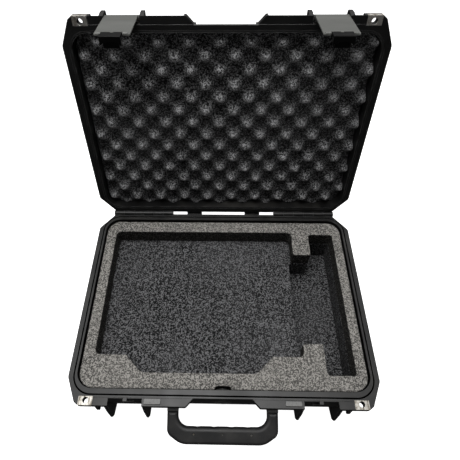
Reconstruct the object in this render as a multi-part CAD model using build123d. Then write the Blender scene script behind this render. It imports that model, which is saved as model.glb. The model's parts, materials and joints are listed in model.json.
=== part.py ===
"""Laptop hard case: a moulded two-shell case with hinged lid, two trigger latches,
a folding handle, a purge valve and a foam insert.

Millimetres. X is the width, Y runs from the front (-) to the hinge side (+), Z is up.
The origin is the middle of the underside, on the surface that the case stands on.
Everything on the lid is modelled with the lid shut and then swung open about the hinge.
"""

import math
import os

from build123d import *

os.makedirs("parts", exist_ok=True)

# ---------------------------------------------------------------- driving dimensions

# Shells
WIDTH = 502.0                 # across the rim flange
DEPTH = 373.5                 # front to back across the rim flange
BASE_HEIGHT = 105.0           # underside to the base's rim
LID_HEIGHT = 45.0             # lid's rim to the top of its rails
RIM_GAP = 0.3                 # between the two rims when shut
WALL = 4.5
FLOOR = 4.5                   # base floor and lid panel
FOOT = 4.0                    # height of the pads under the base
OUTER_DRAFT = 1.5             # degrees
CAVITY_DRAFT = 0.5            # degrees
CAVITY_RADIUS = 28.0
FLANGE = 4.5                  # thickness of the rim flange
SKIRT = 12.0                  # height of the lip round the flange
SKIRT_WALL = 3.5
RIB = 3.0                     # thickness of the ribs under the flange
RIB_PITCH = 46.0
EDGE = 1.0                    # rounding of the flange's outer edges
OVER = 1.0                    # how far joined and cut shapes run past each other

# Insets of the cavity from the flange's outer edge
INSET_SIDE = 13.7
INSET_FRONT = 25.5
INSET_BACK = 14.5
LID_INSET_SIDE = 14.0
LID_INSET_FRONT = 24.0
LID_CAVITY = 34.0             # depth of the lid's hollow

# Rim outline
FRONT_CORNER_X = 17.0         # the front corners slant in by this much
FRONT_CORNER_Y = 37.5
FRONT_NOSE_X = 6.5            # and end in a second, flatter slant
FRONT_NOSE_Y = 5.0
BACK_CORNER_X = 29.0
BACK_CORNER_Y = 35.6
RECESS_WIDTH = 95.0           # the front edge is set back behind the handle
RECESS_SLOPE = 11.0
RECESS_DEPTH = 11.7

# Seal: a flat land round the base's mouth, a groove outside it, an O-ring in the lid
LAND_SIDE = 3.1
LAND_FRONT = 7.9
LAND_BACK = 5.5
GROOVE = 2.5                  # width and depth
STEP = 0.8                    # the latch platform lies this far below the rim
STEP_INSET = 12.1             # of its inner edge from the flange's front edge
SEAL_LIP = 1.1                # lid wall between its hollow and the seal channel
SEAL_CHANNEL = 3.0
SEAL_DEPTH = 3.4
SEAL_WIDTH = 2.8
SEAL_PROUD = 0.15             # how far the O-ring stands out of the channel

# Hinge
HINGE_SET_BACK = 2.45         # axis behind the flange's back edge
HINGE_DROP = 1.1              # axis below the base's rim
BARREL_R = 5.5
BARREL_CLEAR = 0.6
HINGE_PIN_R = 2.0
HINGE_PIN_SHORT = 0.5         # inside the knuckles' end faces
KNUCKLE = 20.35               # pitch of the knuckles
KNUCKLE_GAP = 0.35
KNUCKLES = 6                  # in each of the two hinges
HINGE_SIDE = 25.0             # outer end of each hinge to the flange's side
LID_OPEN = 102.5              # degrees
STOP_X = 60.0                 # middle of each stop lug behind the base
STOP_WIDTH = 30.0
STOP_REACH = 12.0
STOP_GAP = 0.25

# Pin fits
PRESS = 0.02                  # radial room of a fixed pin
RUNNING = 0.06                # radial room of a turning piece

# Latch bays
BAY_SIDE = 70.2               # bay's outer side to the flange's side
BAY_WIDTH = 53.8
BASE_BAY_DEPTH = 6.6          # the base's flange is set back this far in a bay
BAY_SLOPE = 5.2               # and slopes down to a wall, over this depth
BAY_SLOPE_DROP = 7.5
BAY_WALL_DROP = 17.0          # from the rim down to the wall's lower edge
TAB_IN = 24.0                 # a raised tab on the slope, from the bay's inner side
TAB_WIDTH = 6.0
SLOT_LENGTH = 10.8            # angled slot beside the tab
SLOT = 1.6
SLOT_LIP = 1.5                # wall in front of it
LID_BAY_DEPTH = 11.3
FIN = 6.4                     # thickness of the guard fins beside a bay
FIN_LEAN = 6.7                # how far the base fins' toes stand in front of the flange
FIN_DROP = 62.0               # from the rim down to the toes
FIN_TOE = 4.0                 # slant of a toe, both ways
FIN_HEEL = 16.0               # back of a toe, behind the flange's front edge
FIN_ROUND = 2.5
FIN_HEEL_DROP = 7.0           # the heel ends this far below the toe
FIN_TAPER = 12.0              # the last part of a lid fin thins towards its end,
FIN_THIN = 1.9                # by this much on both sides, like a base fin's toe
LID_LIP_LEAN = 3.0            # the lid's front lip leans in by this much
LID_FIN_RISE = 31.0
LID_FIN_PROUD = 1.5

# Latches
LATCH_WIDTH = 50.0
LATCH_SIDE_GAP = 0.5
LATCH_CORNER = 1.5            # rounding of the plate's lower corners
LATCH_SHIFT = 1.5             # middle of the latch, outside the middle of its bay
LATCH_PLATE = 2.0
LATCH_LEAN = 3.0              # degrees that it leans in against its stop
LATCH_PIN_R = 2.0
LATCH_BARREL_R = 4.4
LATCH_PIN_INSET = 6.5         # pin behind the flange's front edge
LATCH_PIN_RISE = 13.0         # pin above the base's rim
LATCH_LENGTH = 75.0           # pin to the lower end of the plate
WINDOW_WIDTH = 30.0           # cut in the plate's lower end for the trigger
WINDOW_TOP = 70.2             # pin to the top of the window
LEG_BOSS = 7.0                # length of the trigger pin's boss on each leg

# Triggers
TRIGGER_WIDTH = 29.0
TRIGGER_PIN_R = 1.2
TRIGGER_BARREL_R = 2.4
TRIGGER_DROP = 73.2           # from the latch pin's height to the trigger pin
TRIGGER_LENGTH = 16.8         # trigger pin to its lower end
TRIGGER_PLATE = 3.0
LIP = 2.2                     # thickness of the lip at its lower end
LIP_DEPTH = 12.6              # outer face to the lip's ends
LIP_ARCH = 5.5                # its edge is hollowed by this much between them
LIP_ROUND = 2.0
TRIGGER_PROUD = 2.0           # its barrel stands this far out of the latch's plate
NOSE_REACH = 2.4              # the nose goes this far under the strike
NOSE_PROUD = 12.5             # and stands this far in from the trigger's barrel
NOSE = 4.5                    # its height
NOSE_FACE = 1.2               # height of its upright tip
STRIKE_WIDTH = 22.0
STRIKE = 4.0                  # thickness
STRIKE_DROP = 66.2            # rim to the strike's top
STRIKE_GAP = 0.6              # between the strike's underside and the nose
SPRING_WIRE = 0.5
SPRING_PITCH = 0.625
SPRING_TURNS = 6
SPRING_GAP = 0.15             # round the pin

# Padlock plates and their bosses
PADLOCK_SIDE = 35.1           # hole to the flange's side
PADLOCK_INSET = 7.9           # hole behind the flange's front edge
PADLOCK_R = 4.5
PLATE_WIDTH = 22.2
PLATE_DEPTH = 13.6
PLATE = 1.5
PLATE_LEG = 8.0
BOSS_MARGIN = 4.0
GUSSET_SIDE = 50.5            # middle of a gusset to the flange's side
GUSSET = 5.0
GUSSET_DROP = 33.0
GUSSET_TIP = 3.0              # height of its blunt tip
GUSSET_SLANT = 14.0           # its underside rises this much to the wall

# Bars on the base's latch platform
BAR_GAP = 16.6                # middle of a bar to the bay beside it
BAR_WIDTH = 26.0
BAR_DEPTH = 7.8
BAR_RISE = 1.8
BAR_EDGE = 0.8                # rounding of their tops
BAR_INSET = 6.8
BAR_RADIUS = 2.0

# Purge valve, in the base's front wall
VALVE_DROP = 23.0             # rim to the valve's axis
VALVE_R = 15.0
VALVE_REACH = 8.6             # out of the front wall
VALVE_DISC = 4.2
VALVE_CHAMFER = 1.5
VALVE_CLEAR = 1.0             # between the disc and the lip of the flange
VALVE_SEAT_GAP = 0.2          # between the disc and the wall
VALVE_STEM_R = 8.8
VALVE_STEM_BORE = 6.8         # radius
VALVE_STEM_PROUD = 0.6        # past its nut
VALVE_NUT = 21.0              # across flats
VALVE_NUT_LENGTH = 5.0
VALVE_NUT_GAP = 0.35          # to the wall, which leans in a little
VALVE_CAP_R = 11.0
VALVE_CAP_SEAT = 2.4
VALVE_CAP_PROUD = 0.8
COIN_SLOT = 2.2
COIN_SLOT_LENGTH = 14.0
VALVE_SEAL_R = 11.5
VALVE_SEAL = 2.0
MEMBRANE = 0.8
VENTS = 3
VENT_R = 1.2
VENT_RING_R = 6.0

# Handle
HANDLE_DROP = 20.0            # rim to the pivot
HANDLE_INSET = 14.8           # pivot behind the flange's front edge
HANDLE_HALF = 88.0            # middle to the outer side of a leg
HANDLE_LEG = 17.4
HANDLE_REACH = 65.5           # pivot to the grip's outer edge
GRIP = 25.5                   # grip, inner edge to outer edge
GRIP_THICK = 17.0
GRIP_START = 16.0             # pivot to where the grip's covering starts
GRIP_CORNER_X = 22.0
GRIP_CORNER_Y = 15.0
GRIP_INNER_CORNER = 16.5
LEG_ROUND = 14.0              # the outline's round from a leg into the corner
GRIP_ROUND = 32.0             # and from the corner into the grip
CORE = 5.0                    # grip covering round the handle's frame
CORE_THICK = 8.0
HANDLE_EYE_R = 6.0
HANDLE_PIN_R = 2.5
HANDLE_DIP = 23.5             # degrees below level, at rest
LUG = 4.5
LUG_GAP = 0.5
FINGERS = 4
FINGER_DEPTH = 1.3
GRIP_EDGE = 6.0               # rounding of the covering's edges
SCREW_PITCH = 45.3            # three screws through the covering into the frame
SCREW_REACH = 49.5
SCREW_HEAD_R = 1.8
SCREW_HEAD = 1.4
SCREW_DOME = 0.5
SCREW_R = 1.1
SCREW_LENGTH = 8.0

# Foam insert
FOAM_DROP = 4.0               # rim down to its top
FOAM_INSET_SIDE = 16.0
FOAM_INSET_FRONT = 26.8
FOAM_INSET_BACK = 17.0
FOAM_FLOOR = 13.5             # the bottom sheet
LAPTOP_WIDTH = 351.0          # recess for the laptop
LAPTOP_DEPTH = 249.0
LAPTOP_THICK = 34.5
LAPTOP_LEFT = 36.0            # recess to the flange's left edge
LAPTOP_FRONT = 82.0           # recess to the flange's front edge
LAPTOP_RADIUS = 8.0
BULGE_WIDTH = 190.0           # the recess bulges forward for the laptop's own handle
BULGE_DEPTH = 29.0
POCKET_WIDTH = 46.2           # long channel of the accessory pocket
POCKET_LENGTH = 273.9
POCKET_RIGHT = 34.0           # channel to the flange's right edge
POCKET_FRONT = 52.5
POCKET_WIDE = 174.8           # length of the wide part beside the recess
POCKET_WIDE_FRONT = 104.2
POCKET_RADIUS = 3.0
NOTCH_WIDTH = 25.0            # clears the valve's nut
NOTCH_DEPTH = 5.9

# Lid foam: a sheet with rows of peaks
LID_FOAM_GAP = 1.5            # to the lid's walls
LID_FOAM_SHEET = 13.0
PEAK = 16.0
PEAK_PITCH_X = 48.0
PEAK_PITCH_Y = 23.25
PEAK_R = 15.0
PEAK_DRAFT = 34.0             # degrees
PEAK_FIRST_Y = 39.0           # first row, from the flange's front edge
PEAK_SHIFT_X = -8.0           # a peak of the first row, from the case's middle

# Outside ribs, pads and rails
SIDE_RIB = 4.0
SIDE_RIB_PROUD = 5.5
SIDE_RIB_PITCH = 92.0
BACK_RIB_PITCH = 96.0
PAD_WIDTH = 84.0
PAD_DEPTH = 60.0
PAD_RADIUS = 12.0
SPINE_WIDTH = 250.0
SPINE_DEPTH = 46.0
BOTTOM_RADIUS = 9.0
RAIL_WIDTH = 300.0
RAIL_DEPTH = 22.0
RAIL_SPACING = 86.0
RAILS = 3
RAIL_RADIUS = 10.5
RAIL_CHAMFER = 1.5

# ---------------------------------------------------------------- derived places

FRONT = -DEPTH / 2
BACK = DEPTH / 2
RIM = BASE_HEIGHT
LID_RIM = RIM + RIM_GAP
FLOOR_TOP = FOOT + FLOOR
PANEL_TOP = LID_RIM + LID_CAVITY + FLOOR
AXIS_Y = BACK + HINGE_SET_BACK
AXIS_Z = RIM - HINGE_DROP
SIDE = WIDTH / 2
HINGE_END = SIDE - HINGE_SIDE
BAY_INNER = SIDE - BAY_SIDE - BAY_WIDTH
BAY_X = BAY_INNER + BAY_WIDTH / 2
LATCH_X = BAY_X + LATCH_SHIFT
BAR_X = BAY_INNER - BAR_GAP
PADLOCK_X = SIDE - PADLOCK_SIDE
GUSSET_X = SIDE - GUSSET_SIDE
LID_BAY_Y = FRONT + LID_BAY_DEPTH
WALL_FRONT = FRONT + INSET_FRONT - WALL
LATCH_PIN_Y = FRONT + LATCH_PIN_INSET
LATCH_PIN_Z = RIM + LATCH_PIN_RISE
TRIGGER_PIN_Z = LATCH_PIN_Z - TRIGGER_DROP
LEAN = math.radians(LATCH_LEAN)
HANDLE_Y = FRONT + HANDLE_INSET
HANDLE_Z = RIM - HANDLE_DROP
VALVE_Z = RIM - VALVE_DROP
VALVE_SEAT_Y = WALL_FRONT - VALVE_SEAT_GAP
PADLOCK_Y = FRONT + PADLOCK_INSET
FOAM_TOP = RIM - FOAM_DROP
RECESS_FLOOR = FOAM_TOP - LAPTOP_THICK
FOAM_FLOOR_TOP = FLOOR_TOP + FOAM_FLOOR
SIDES = (("left", -1), ("right", 1))
SCREWS = {"left": -1, "middle": 0, "right": 1}
HINGE_AXIS = Axis((0, AXIS_Y, AXIS_Z), (1, 0, 0))


# ---------------------------------------------------------------- helpers


def block(x0, x1, y0, y1, z0, z1):
    """A box between two corners, given in any order."""
    size = (abs(x1 - x0), abs(y1 - y0), abs(z1 - z0))
    return Pos((x0 + x1) / 2, (y0 + y1) / 2, (z0 + z1) / 2) * Box(*size)


def along_x(x0, x1, y, z, radius):
    """A cylinder that lies along X."""
    return Pos((x0 + x1) / 2, y, z) * Rot(0, 90, 0) * Cylinder(radius, abs(x1 - x0))


def along_y(y0, y1, x, z, radius):
    """A cylinder that lies along Y."""
    return Pos(x, (y0 + y1) / 2, z) * Rot(90, 0, 0) * Cylinder(radius, abs(y1 - y0))


def profile_x(points, x0, x1, radii=()):
    """A plate: an outline of (y, z) points, from x0 to x1, with (index, radius) roundings."""
    face = Polygon(*points, align=None)
    for index, radius in radii:
        place = Vector(*points[index])
        corner = face.vertices().sort_by_distance(place)[0]
        face = fillet(corner, radius)
    plane = Plane(origin=(min(x0, x1), 0, 0), x_dir=(0, 1, 0), z_dir=(1, 0, 0))
    return extrude(plane * face, abs(x1 - x0), dir=(1, 0, 0))


def lift(sketch, z0, z1, draft=0.0):
    """Extrude a plan sketch from z0 to z1, narrowing by the draft on the way."""
    face = Pos(0, 0, z0) * sketch
    way = (0, 0, 1 if z1 > z0 else -1)
    return extrude(face, abs(z1 - z0), dir=way, taper=draft)


def ring_plan(side, front, back, radius):
    """A rounded rectangle, inset from the flange's outer edges."""
    y0 = FRONT + front
    y1 = BACK - back
    return Pos(0, (y0 + y1) / 2) * RectangleRounded(WIDTH - 2 * side, y1 - y0, radius)


def rim_outline(bay_depth):
    """The flange's outline, with its recess, corners and latch bays."""
    corner_y = FRONT + FRONT_NOSE_Y
    slant_y = corner_y + FRONT_CORNER_Y
    recess = RECESS_WIDTH / 2
    right = [
        (recess, FRONT + RECESS_DEPTH),
        (recess + RECESS_SLOPE, FRONT),
        (SIDE - FRONT_CORNER_X - FRONT_NOSE_X, FRONT),
        (SIDE - FRONT_CORNER_X, corner_y),
        (SIDE, slant_y),
        (SIDE, BACK - BACK_CORNER_Y),
        (SIDE - BACK_CORNER_X, BACK),
    ]
    left = [(-x, y) for x, y in reversed(right)]
    face = Polygon(*right, *left, align=None)
    roundings = ((0, 3.0), (1, 3.0), (2, 6.0), (3, 6.0), (4, 14.0), (5, 9.0), (6, 9.0))
    for index, radius in roundings:
        x, y = right[index]
        for sign in (-1, 1):
            corner = face.vertices().sort_by_distance(Vector(sign * x, y))[0]
            face = fillet(corner, radius)
    for sign in (-1, 1):
        bay = Rectangle(BAY_WIDTH, 2 * bay_depth)
        face -= Pos(sign * BAY_X, FRONT) * bay
    return face


def knuckle_spans(own):
    """X ranges of the knuckles of one leaf: own is 0 for the base and 1 for the lid."""
    spans = []
    for side in (-1, 1):
        for number in range(own, KNUCKLES, 2):
            outer = HINGE_END - number * KNUCKLE
            spans.append((side * outer, side * (outer - KNUCKLE)))
    return spans


def shrink(span, amount):
    """Take an amount off both ends of an X range."""
    low, high = sorted(span)
    return low + amount, high - amount


def with_hinge(shell, own, z_far):
    """Cut room for the other leaf's knuckles and add this leaf's own, out to z_far."""
    for span in knuckle_spans(1 - own):
        low, high = shrink(span, -KNUCKLE_GAP / 2)
        shell -= along_x(low, high, AXIS_Y, AXIS_Z, BARREL_R + BARREL_CLEAR)
    bore = HINGE_PIN_R + (RUNNING if own else PRESS)
    near = LID_RIM if own else RIM - EDGE
    for span in knuckle_spans(own):
        low, high = shrink(span, KNUCKLE_GAP / 2)
        knuckle = along_x(low, high, AXIS_Y, AXIS_Z, BARREL_R)
        knuckle += block(low, high, BACK - SKIRT_WALL, AXIS_Y, near, z_far)
        shell += knuckle
        shell -= along_x(low - OVER, high + OVER, AXIS_Y, AXIS_Z, bore)
    return shell


def flange_ribs(body_side, outline, z0, z1):
    """Cross ribs between the wall and the lip, all round the flange."""
    ribs = []
    y_count = int((DEPTH - 2 * BACK_CORNER_Y) / RIB_PITCH)
    for number in range(y_count + 1):
        y = (number - y_count / 2) * RIB_PITCH
        ribs.append(Pos(0, y) * Rectangle(WIDTH, RIB))
    x_count = int((WIDTH - 2 * BACK_CORNER_X) / RIB_PITCH)
    for number in range(x_count + 1):
        x = (number - x_count / 2) * RIB_PITCH
        ribs.append(Pos(x, 0) * Rectangle(RIB, DEPTH))
    plan = Sketch() + ribs
    return lift(plan & outline, z0, z1) - body_side


def padlock_plan(margin):
    """Plan of the padlock plates, grown by a margin."""
    plan = Sketch()
    for sign in (-1, 1):
        area = Rectangle(PLATE_WIDTH + 2 * margin, PLATE_DEPTH + 2 * margin)
        plan += Pos(sign * PADLOCK_X, FRONT + PLATE_DEPTH / 2) * area
    return plan


def padlock_plate(sign, rim, way):
    """An angled steel plate over one corner's boss; way is -1 down or 1 up."""
    x0 = sign * PADLOCK_X - PLATE_WIDTH / 2
    x1 = x0 + PLATE_WIDTH
    plate = block(x0, x1, FRONT, FRONT + PLATE_DEPTH, rim, rim + way * PLATE)
    plate += block(x0, x1, FRONT, FRONT + PLATE, rim, rim + way * PLATE_LEG)
    hole = Pos(sign * PADLOCK_X, PADLOCK_Y, rim) * Cylinder(PADLOCK_R, 4 * PLATE)
    return plate - hole


def seat_padlock_plates(shell, rim, way):
    """Cut the seats and the holes of both padlock plates in a shell."""
    for sign in (-1, 1):
        x0 = sign * PADLOCK_X - PLATE_WIDTH / 2
        x1 = x0 + PLATE_WIDTH
        near = FRONT - OVER
        shell -= block(x0, x1, near, FRONT + PLATE_DEPTH, rim - way, rim + way * PLATE)
        shell -= block(x0, x1, near, FRONT + PLATE, rim - way, rim + way * PLATE_LEG)
        shell -= Pos(sign * PADLOCK_X, PADLOCK_Y, rim) * Cylinder(PADLOCK_R, 3 * SKIRT)
    return shell


def flange_with_channel(body, bay_depth, rim, way):
    """The flange and its lip, hollow underneath apart from ribs and padlock bosses."""
    outline = rim_outline(bay_depth)
    flange = lift(outline, rim, rim + way * SKIRT)
    top_edges = flange.edges().group_by(Axis.Z)[-1] + flange.edges().group_by(Axis.Z)[0]
    flange = chamfer(top_edges, EDGE)
    z0 = rim + way * FLANGE
    z1 = rim + way * (SKIRT + OVER)
    channel = lift(offset(outline, -SKIRT_WALL) - padlock_plan(BOSS_MARGIN), z0, z1) - body
    ribs = flange_ribs(body, offset(outline, -SKIRT_WALL / 2), z0, rim + way * (SKIRT - EDGE))
    return body + (flange - channel) + ribs


# ---------------------------------------------------------------- base shell


def base_body():
    """The tub's outside: drafted walls under the flange."""
    plan = ring_plan(
        INSET_SIDE - WALL, INSET_FRONT - WALL, INSET_BACK - WALL, CAVITY_RADIUS + WALL
    )
    body = lift(plan, RIM, FOOT, OUTER_DRAFT)
    bottom = body.faces().sort_by(Axis.Z)[0]
    return fillet(bottom.edges(), BOTTOM_RADIUS)


def base_pads():
    """Flat pads under the base: one at each corner and a spine through the middle."""
    plan = Pos(0, 0) * RectangleRounded(SPINE_WIDTH, SPINE_DEPTH, PAD_RADIUS)
    x = SIDE - INSET_SIDE - BOTTOM_RADIUS - PAD_WIDTH / 2 - PAD_RADIUS
    y = DEPTH / 2 - INSET_FRONT - BOTTOM_RADIUS - PAD_DEPTH / 2 - PAD_RADIUS / 2
    for side in (-1, 1):
        for end in (-1, 1):
            plan += Pos(side * x, end * y) * RectangleRounded(PAD_WIDTH, PAD_DEPTH, PAD_RADIUS)
    return lift(plan, 0, FOOT + OVER)


def wall_ribs(z0, z1, sides_inset, back_inset):
    """Upright ribs on the side walls and the back wall, from z0 to z1."""
    ribs = Part()
    side_face = SIDE - sides_inset
    for row in (-1, 0, 1):
        y = row * SIDE_RIB_PITCH
        for side in (-1, 1):
            x0 = side * (side_face - 2 * WALL)
            x1 = side * (side_face + SIDE_RIB_PROUD)
            for pair in (-1, 1):
                centre = y + pair * 2 * SIDE_RIB
                ribs += block(x0, x1, centre - SIDE_RIB / 2, centre + SIDE_RIB / 2, z0, z1)
    back_face = BACK - back_inset
    for row in (-1, 1):
        centre = row * BACK_RIB_PITCH / 2
        x0 = centre - SIDE_RIB / 2
        ribs += block(x0, x0 + SIDE_RIB, back_face - 2 * WALL, back_face + SIDE_RIB_PROUD, z0, z1)
    return ribs


def thin_end(fin, x0, x1, tip_z):
    """Thins a fin towards its upper end, on both of its sides."""
    low, high = sorted((x0, x1))
    start = tip_z - FIN_TAPER
    root = tip_z - 2 * FIN_DROP
    outline = [
        (low, root),
        (high, root),
        (high, start),
        (high - FIN_THIN, tip_z),
        (low + FIN_THIN, tip_z),
        (low, start),
    ]
    return fin & extrude(Plane.XZ * Polygon(*outline, align=None), DEPTH, both=True)


def thin_toe(fin, x0, x1):
    """Thins a fin towards the front of its toe, on both of its sides."""
    low, high = sorted((x0, x1))
    toe_y = FRONT - FIN_LEAN
    start = toe_y + FIN_TOE
    outline = [
        (low, BACK),
        (high, BACK),
        (high, start),
        (high - FIN_THIN, toe_y),
        (low + FIN_THIN, toe_y),
        (low, start),
    ]
    return fin & lift(Polygon(*outline, align=None), 0, RIM)


def base_fins():
    """Guard fins beside the latch bays, leaning out towards their toes."""
    toe_y = FRONT - FIN_LEAN
    toe_z = RIM - FIN_DROP
    root_y = WALL_FRONT + WALL
    outline = [
        (root_y, RIM - 1.5 * EDGE),
        (FRONT + EDGE, RIM - 1.5 * EDGE),
        (FRONT, RIM - SKIRT + FIN_ROUND),
        (toe_y, toe_z + FIN_TOE),
        (toe_y + FIN_TOE, toe_z),
        (FRONT + FIN_HEEL, toe_z - FIN_HEEL_DROP),
        (root_y, toe_z - FIN_HEEL_DROP),
    ]
    fins = Part()
    for side in (-1, 1):
        for inner in (BAY_INNER - FIN, BAY_INNER + BAY_WIDTH):
            x0 = side * inner
            x1 = side * (inner + FIN)
            fin = profile_x(outline, x0, x1, ((3, FIN_ROUND),))
            fins += thin_toe(fin, x0, x1)
    return fins


def slope_bays(shell):
    """Slopes the flange down to a low wall in each bay, past a raised tab and a slot."""
    edge_y = FRONT + BASE_BAY_DEPTH
    top_y = edge_y + BAY_SLOPE
    knee_z = RIM - BAY_SLOPE_DROP
    inner_z = RIM - FLANGE
    wall = [
        (edge_y, RIM - BAY_WALL_DROP),
        (edge_y, knee_z),
        (top_y, RIM - EDGE),
        (top_y + FLANGE, RIM - EDGE),
        (top_y + FLANGE, inner_z),
        (edge_y + SKIRT_WALL, knee_z),
        (edge_y + SKIRT_WALL, RIM - BAY_WALL_DROP),
    ]
    wedge = [(edge_y - OVER, RIM + OVER), (top_y, RIM + OVER), (top_y, RIM), (edge_y, knee_z)]
    wedge.append((edge_y - OVER, knee_z))
    for side in (-1, 1):
        tab = side * (BAY_INNER + TAB_IN)
        tab_end = tab + side * TAB_WIDTH
        bay = side * BAY_INNER
        bay_end = bay + side * BAY_WIDTH
        shell += profile_x(wall, bay, bay_end)
        shell -= profile_x(wedge, bay, tab) + profile_x(wedge, tab_end, bay_end)
        slot_y = edge_y + SLOT_LIP
        slot_z = (RIM - BAY_WALL_DROP - OVER, RIM + OVER)
        shell -= block(tab - side * SLOT_LENGTH, tab, slot_y, slot_y + SLOT, *slot_z)
        shell -= block(tab - side * SLOT, tab, slot_y, slot_y + 2 * SLOT, *slot_z)
    return shell


def base_gussets():
    """Small fins inboard of the padlock bosses."""
    tip_z = RIM - GUSSET_DROP
    root_y = WALL_FRONT + WALL / 2
    outline = [
        (root_y, RIM - SKIRT / 2),
        (FRONT + EDGE, RIM - SKIRT / 2),
        (FRONT - EDGE, tip_z + GUSSET_TIP),
        (FRONT + 2 * EDGE, tip_z),
        (root_y, tip_z + GUSSET_SLANT),
    ]
    gussets = Part()
    for side in (-1, 1):
        x0 = side * GUSSET_X - GUSSET / 2
        gussets += profile_x(outline, x0, x0 + GUSSET)
    return gussets


def strike_ledges():
    """A ledge on the front wall in each bay, braced by two ribs, for the trigger's nose."""
    top = RIM - STRIKE_DROP
    edge_y = strike_edge_y()
    ledges = Part()
    for side in (-1, 1):
        x = side * LATCH_X
        half = STRIKE_WIDTH / 2
        ledges += block(x - half, x + half, edge_y, WALL_FRONT + WALL, top - STRIKE, top)
        for end in (-1, 1):
            outer = x + end * half
            inner = outer - end * RIB
            ledges += block(
                outer, inner, edge_y + RIB, WALL_FRONT + WALL, top - STRIKE, RIM - SKIRT / 2
            )
    return ledges


def handle_lugs():
    """Two ears beside each handle leg, under the flange."""
    lugs = Part()
    radius = HANDLE_EYE_R + LUG_GAP
    root_y = WALL_FRONT + WALL / 2
    for low, high in lug_spans():
        lugs += along_x(low, high, HANDLE_Y, HANDLE_Z, radius)
        lugs += block(low, high, HANDLE_Y - radius, root_y, HANDLE_Z, RIM - FLANGE / 2)
        lugs += block(low, high, HANDLE_Y, root_y, HANDLE_Z - radius, HANDLE_Z)
    return lugs


def lug_spans():
    """X ranges of the four ears that carry the handle."""
    inner = HANDLE_HALF - HANDLE_LEG - LUG_GAP
    outer = HANDLE_HALF + LUG_GAP
    spans = []
    for side in (-1, 1):
        spans.append(tuple(sorted((side * (inner - LUG), side * inner))))
        spans.append(tuple(sorted((side * outer, side * (outer + LUG)))))
    return spans


def platform_bars():
    """Two raised bars with round ends on the base's latch platform."""
    z0 = RIM - STEP - EDGE
    plan = Sketch()
    y = FRONT + BAR_INSET
    for side in (-1, 1):
        plan += Pos(side * BAR_X, y) * RectangleRounded(BAR_WIDTH, BAR_DEPTH, BAR_RADIUS)
    bars = lift(plan, z0, RIM - STEP + BAR_RISE)
    return fillet(bars.faces().sort_by(Axis.Z)[-1].edges(), BAR_EDGE)


def platform_cut(rim, way):
    """The latch platforms lie a step behind the rim, either side of the middle recess."""
    cut = Part()
    for side in (-1, 1):
        x0 = side * (RECESS_WIDTH / 2 - OVER)
        x1 = side * (PADLOCK_X - PLATE_WIDTH / 2 - OVER)
        cut += block(x0, x1, FRONT - OVER, FRONT + STEP_INSET, rim - way, rim + way * STEP)
    return cut


def stop_lugs():
    """Lugs behind the base: the open lid's back edge rests on them."""
    swing = math.radians(LID_OPEN)
    back = HINGE_SET_BACK - STOP_GAP
    seat = []
    for height in (STOP_REACH, BARREL_R / 2 + STOP_GAP):
        y = height * math.sin(swing) - back * math.cos(swing)
        z = height * math.cos(swing) + back * math.sin(swing)
        seat.append((AXIS_Y + y, AXIS_Z + z))
    root_y = BACK - SKIRT_WALL
    low_z = AXIS_Z - SKIRT
    clear_z = AXIS_Z - HINGE_SET_BACK - EDGE
    outline = [
        (root_y, low_z),
        (seat[0][0], low_z),
        *seat,
        (seat[1][0] - EDGE, clear_z),
        (root_y, clear_z),
    ]
    lugs = Part()
    for side in (-1, 1):
        x0 = side * STOP_X - STOP_WIDTH / 2
        lugs += profile_x(outline, x0, x0 + STOP_WIDTH)
    return lugs


def base_shell():
    """The lower shell with everything that is moulded in one piece with it."""
    body = base_body()
    shell = slope_bays(flange_with_channel(body, BASE_BAY_DEPTH, RIM, -1))
    shell += wall_ribs(FOOT + BOTTOM_RADIUS, RIM - FLANGE, INSET_SIDE - WALL, INSET_BACK - WALL)
    shell += base_pads()
    shell += base_fins()
    shell += base_gussets()
    shell += strike_ledges()
    shell += handle_lugs()
    shell += stop_lugs()
    cavity = ring_plan(INSET_SIDE, INSET_FRONT, INSET_BACK, CAVITY_RADIUS)
    shell -= lift(cavity, RIM, FLOOR_TOP, CAVITY_DRAFT)
    land = ring_plan(
        INSET_SIDE - LAND_SIDE,
        INSET_FRONT - LAND_FRONT,
        INSET_BACK - LAND_BACK,
        CAVITY_RADIUS + LAND_SIDE,
    )
    shell -= lift(offset(land, GROOVE) - land, RIM, RIM - GROOVE)
    shell -= platform_cut(RIM, -1)
    shell += platform_bars()
    shell = seat_padlock_plates(shell, RIM, -1)
    shell -= along_y(FRONT, WALL_FRONT, 0, VALVE_Z, VALVE_R + VALVE_CLEAR)
    stem_bore = VALVE_STEM_R + PRESS
    shell -= along_y(WALL_FRONT - OVER, WALL_FRONT + 2 * WALL, 0, VALVE_Z, stem_bore)
    for span in lug_spans():
        low, high = shrink(span, -LUG_GAP / 2)
        shell -= along_x(low, high, HANDLE_Y, HANDLE_Z, HANDLE_PIN_R + PRESS)
    return with_hinge(shell, 0, AXIS_Z - BARREL_R)


# ---------------------------------------------------------------- lid shell


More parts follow.
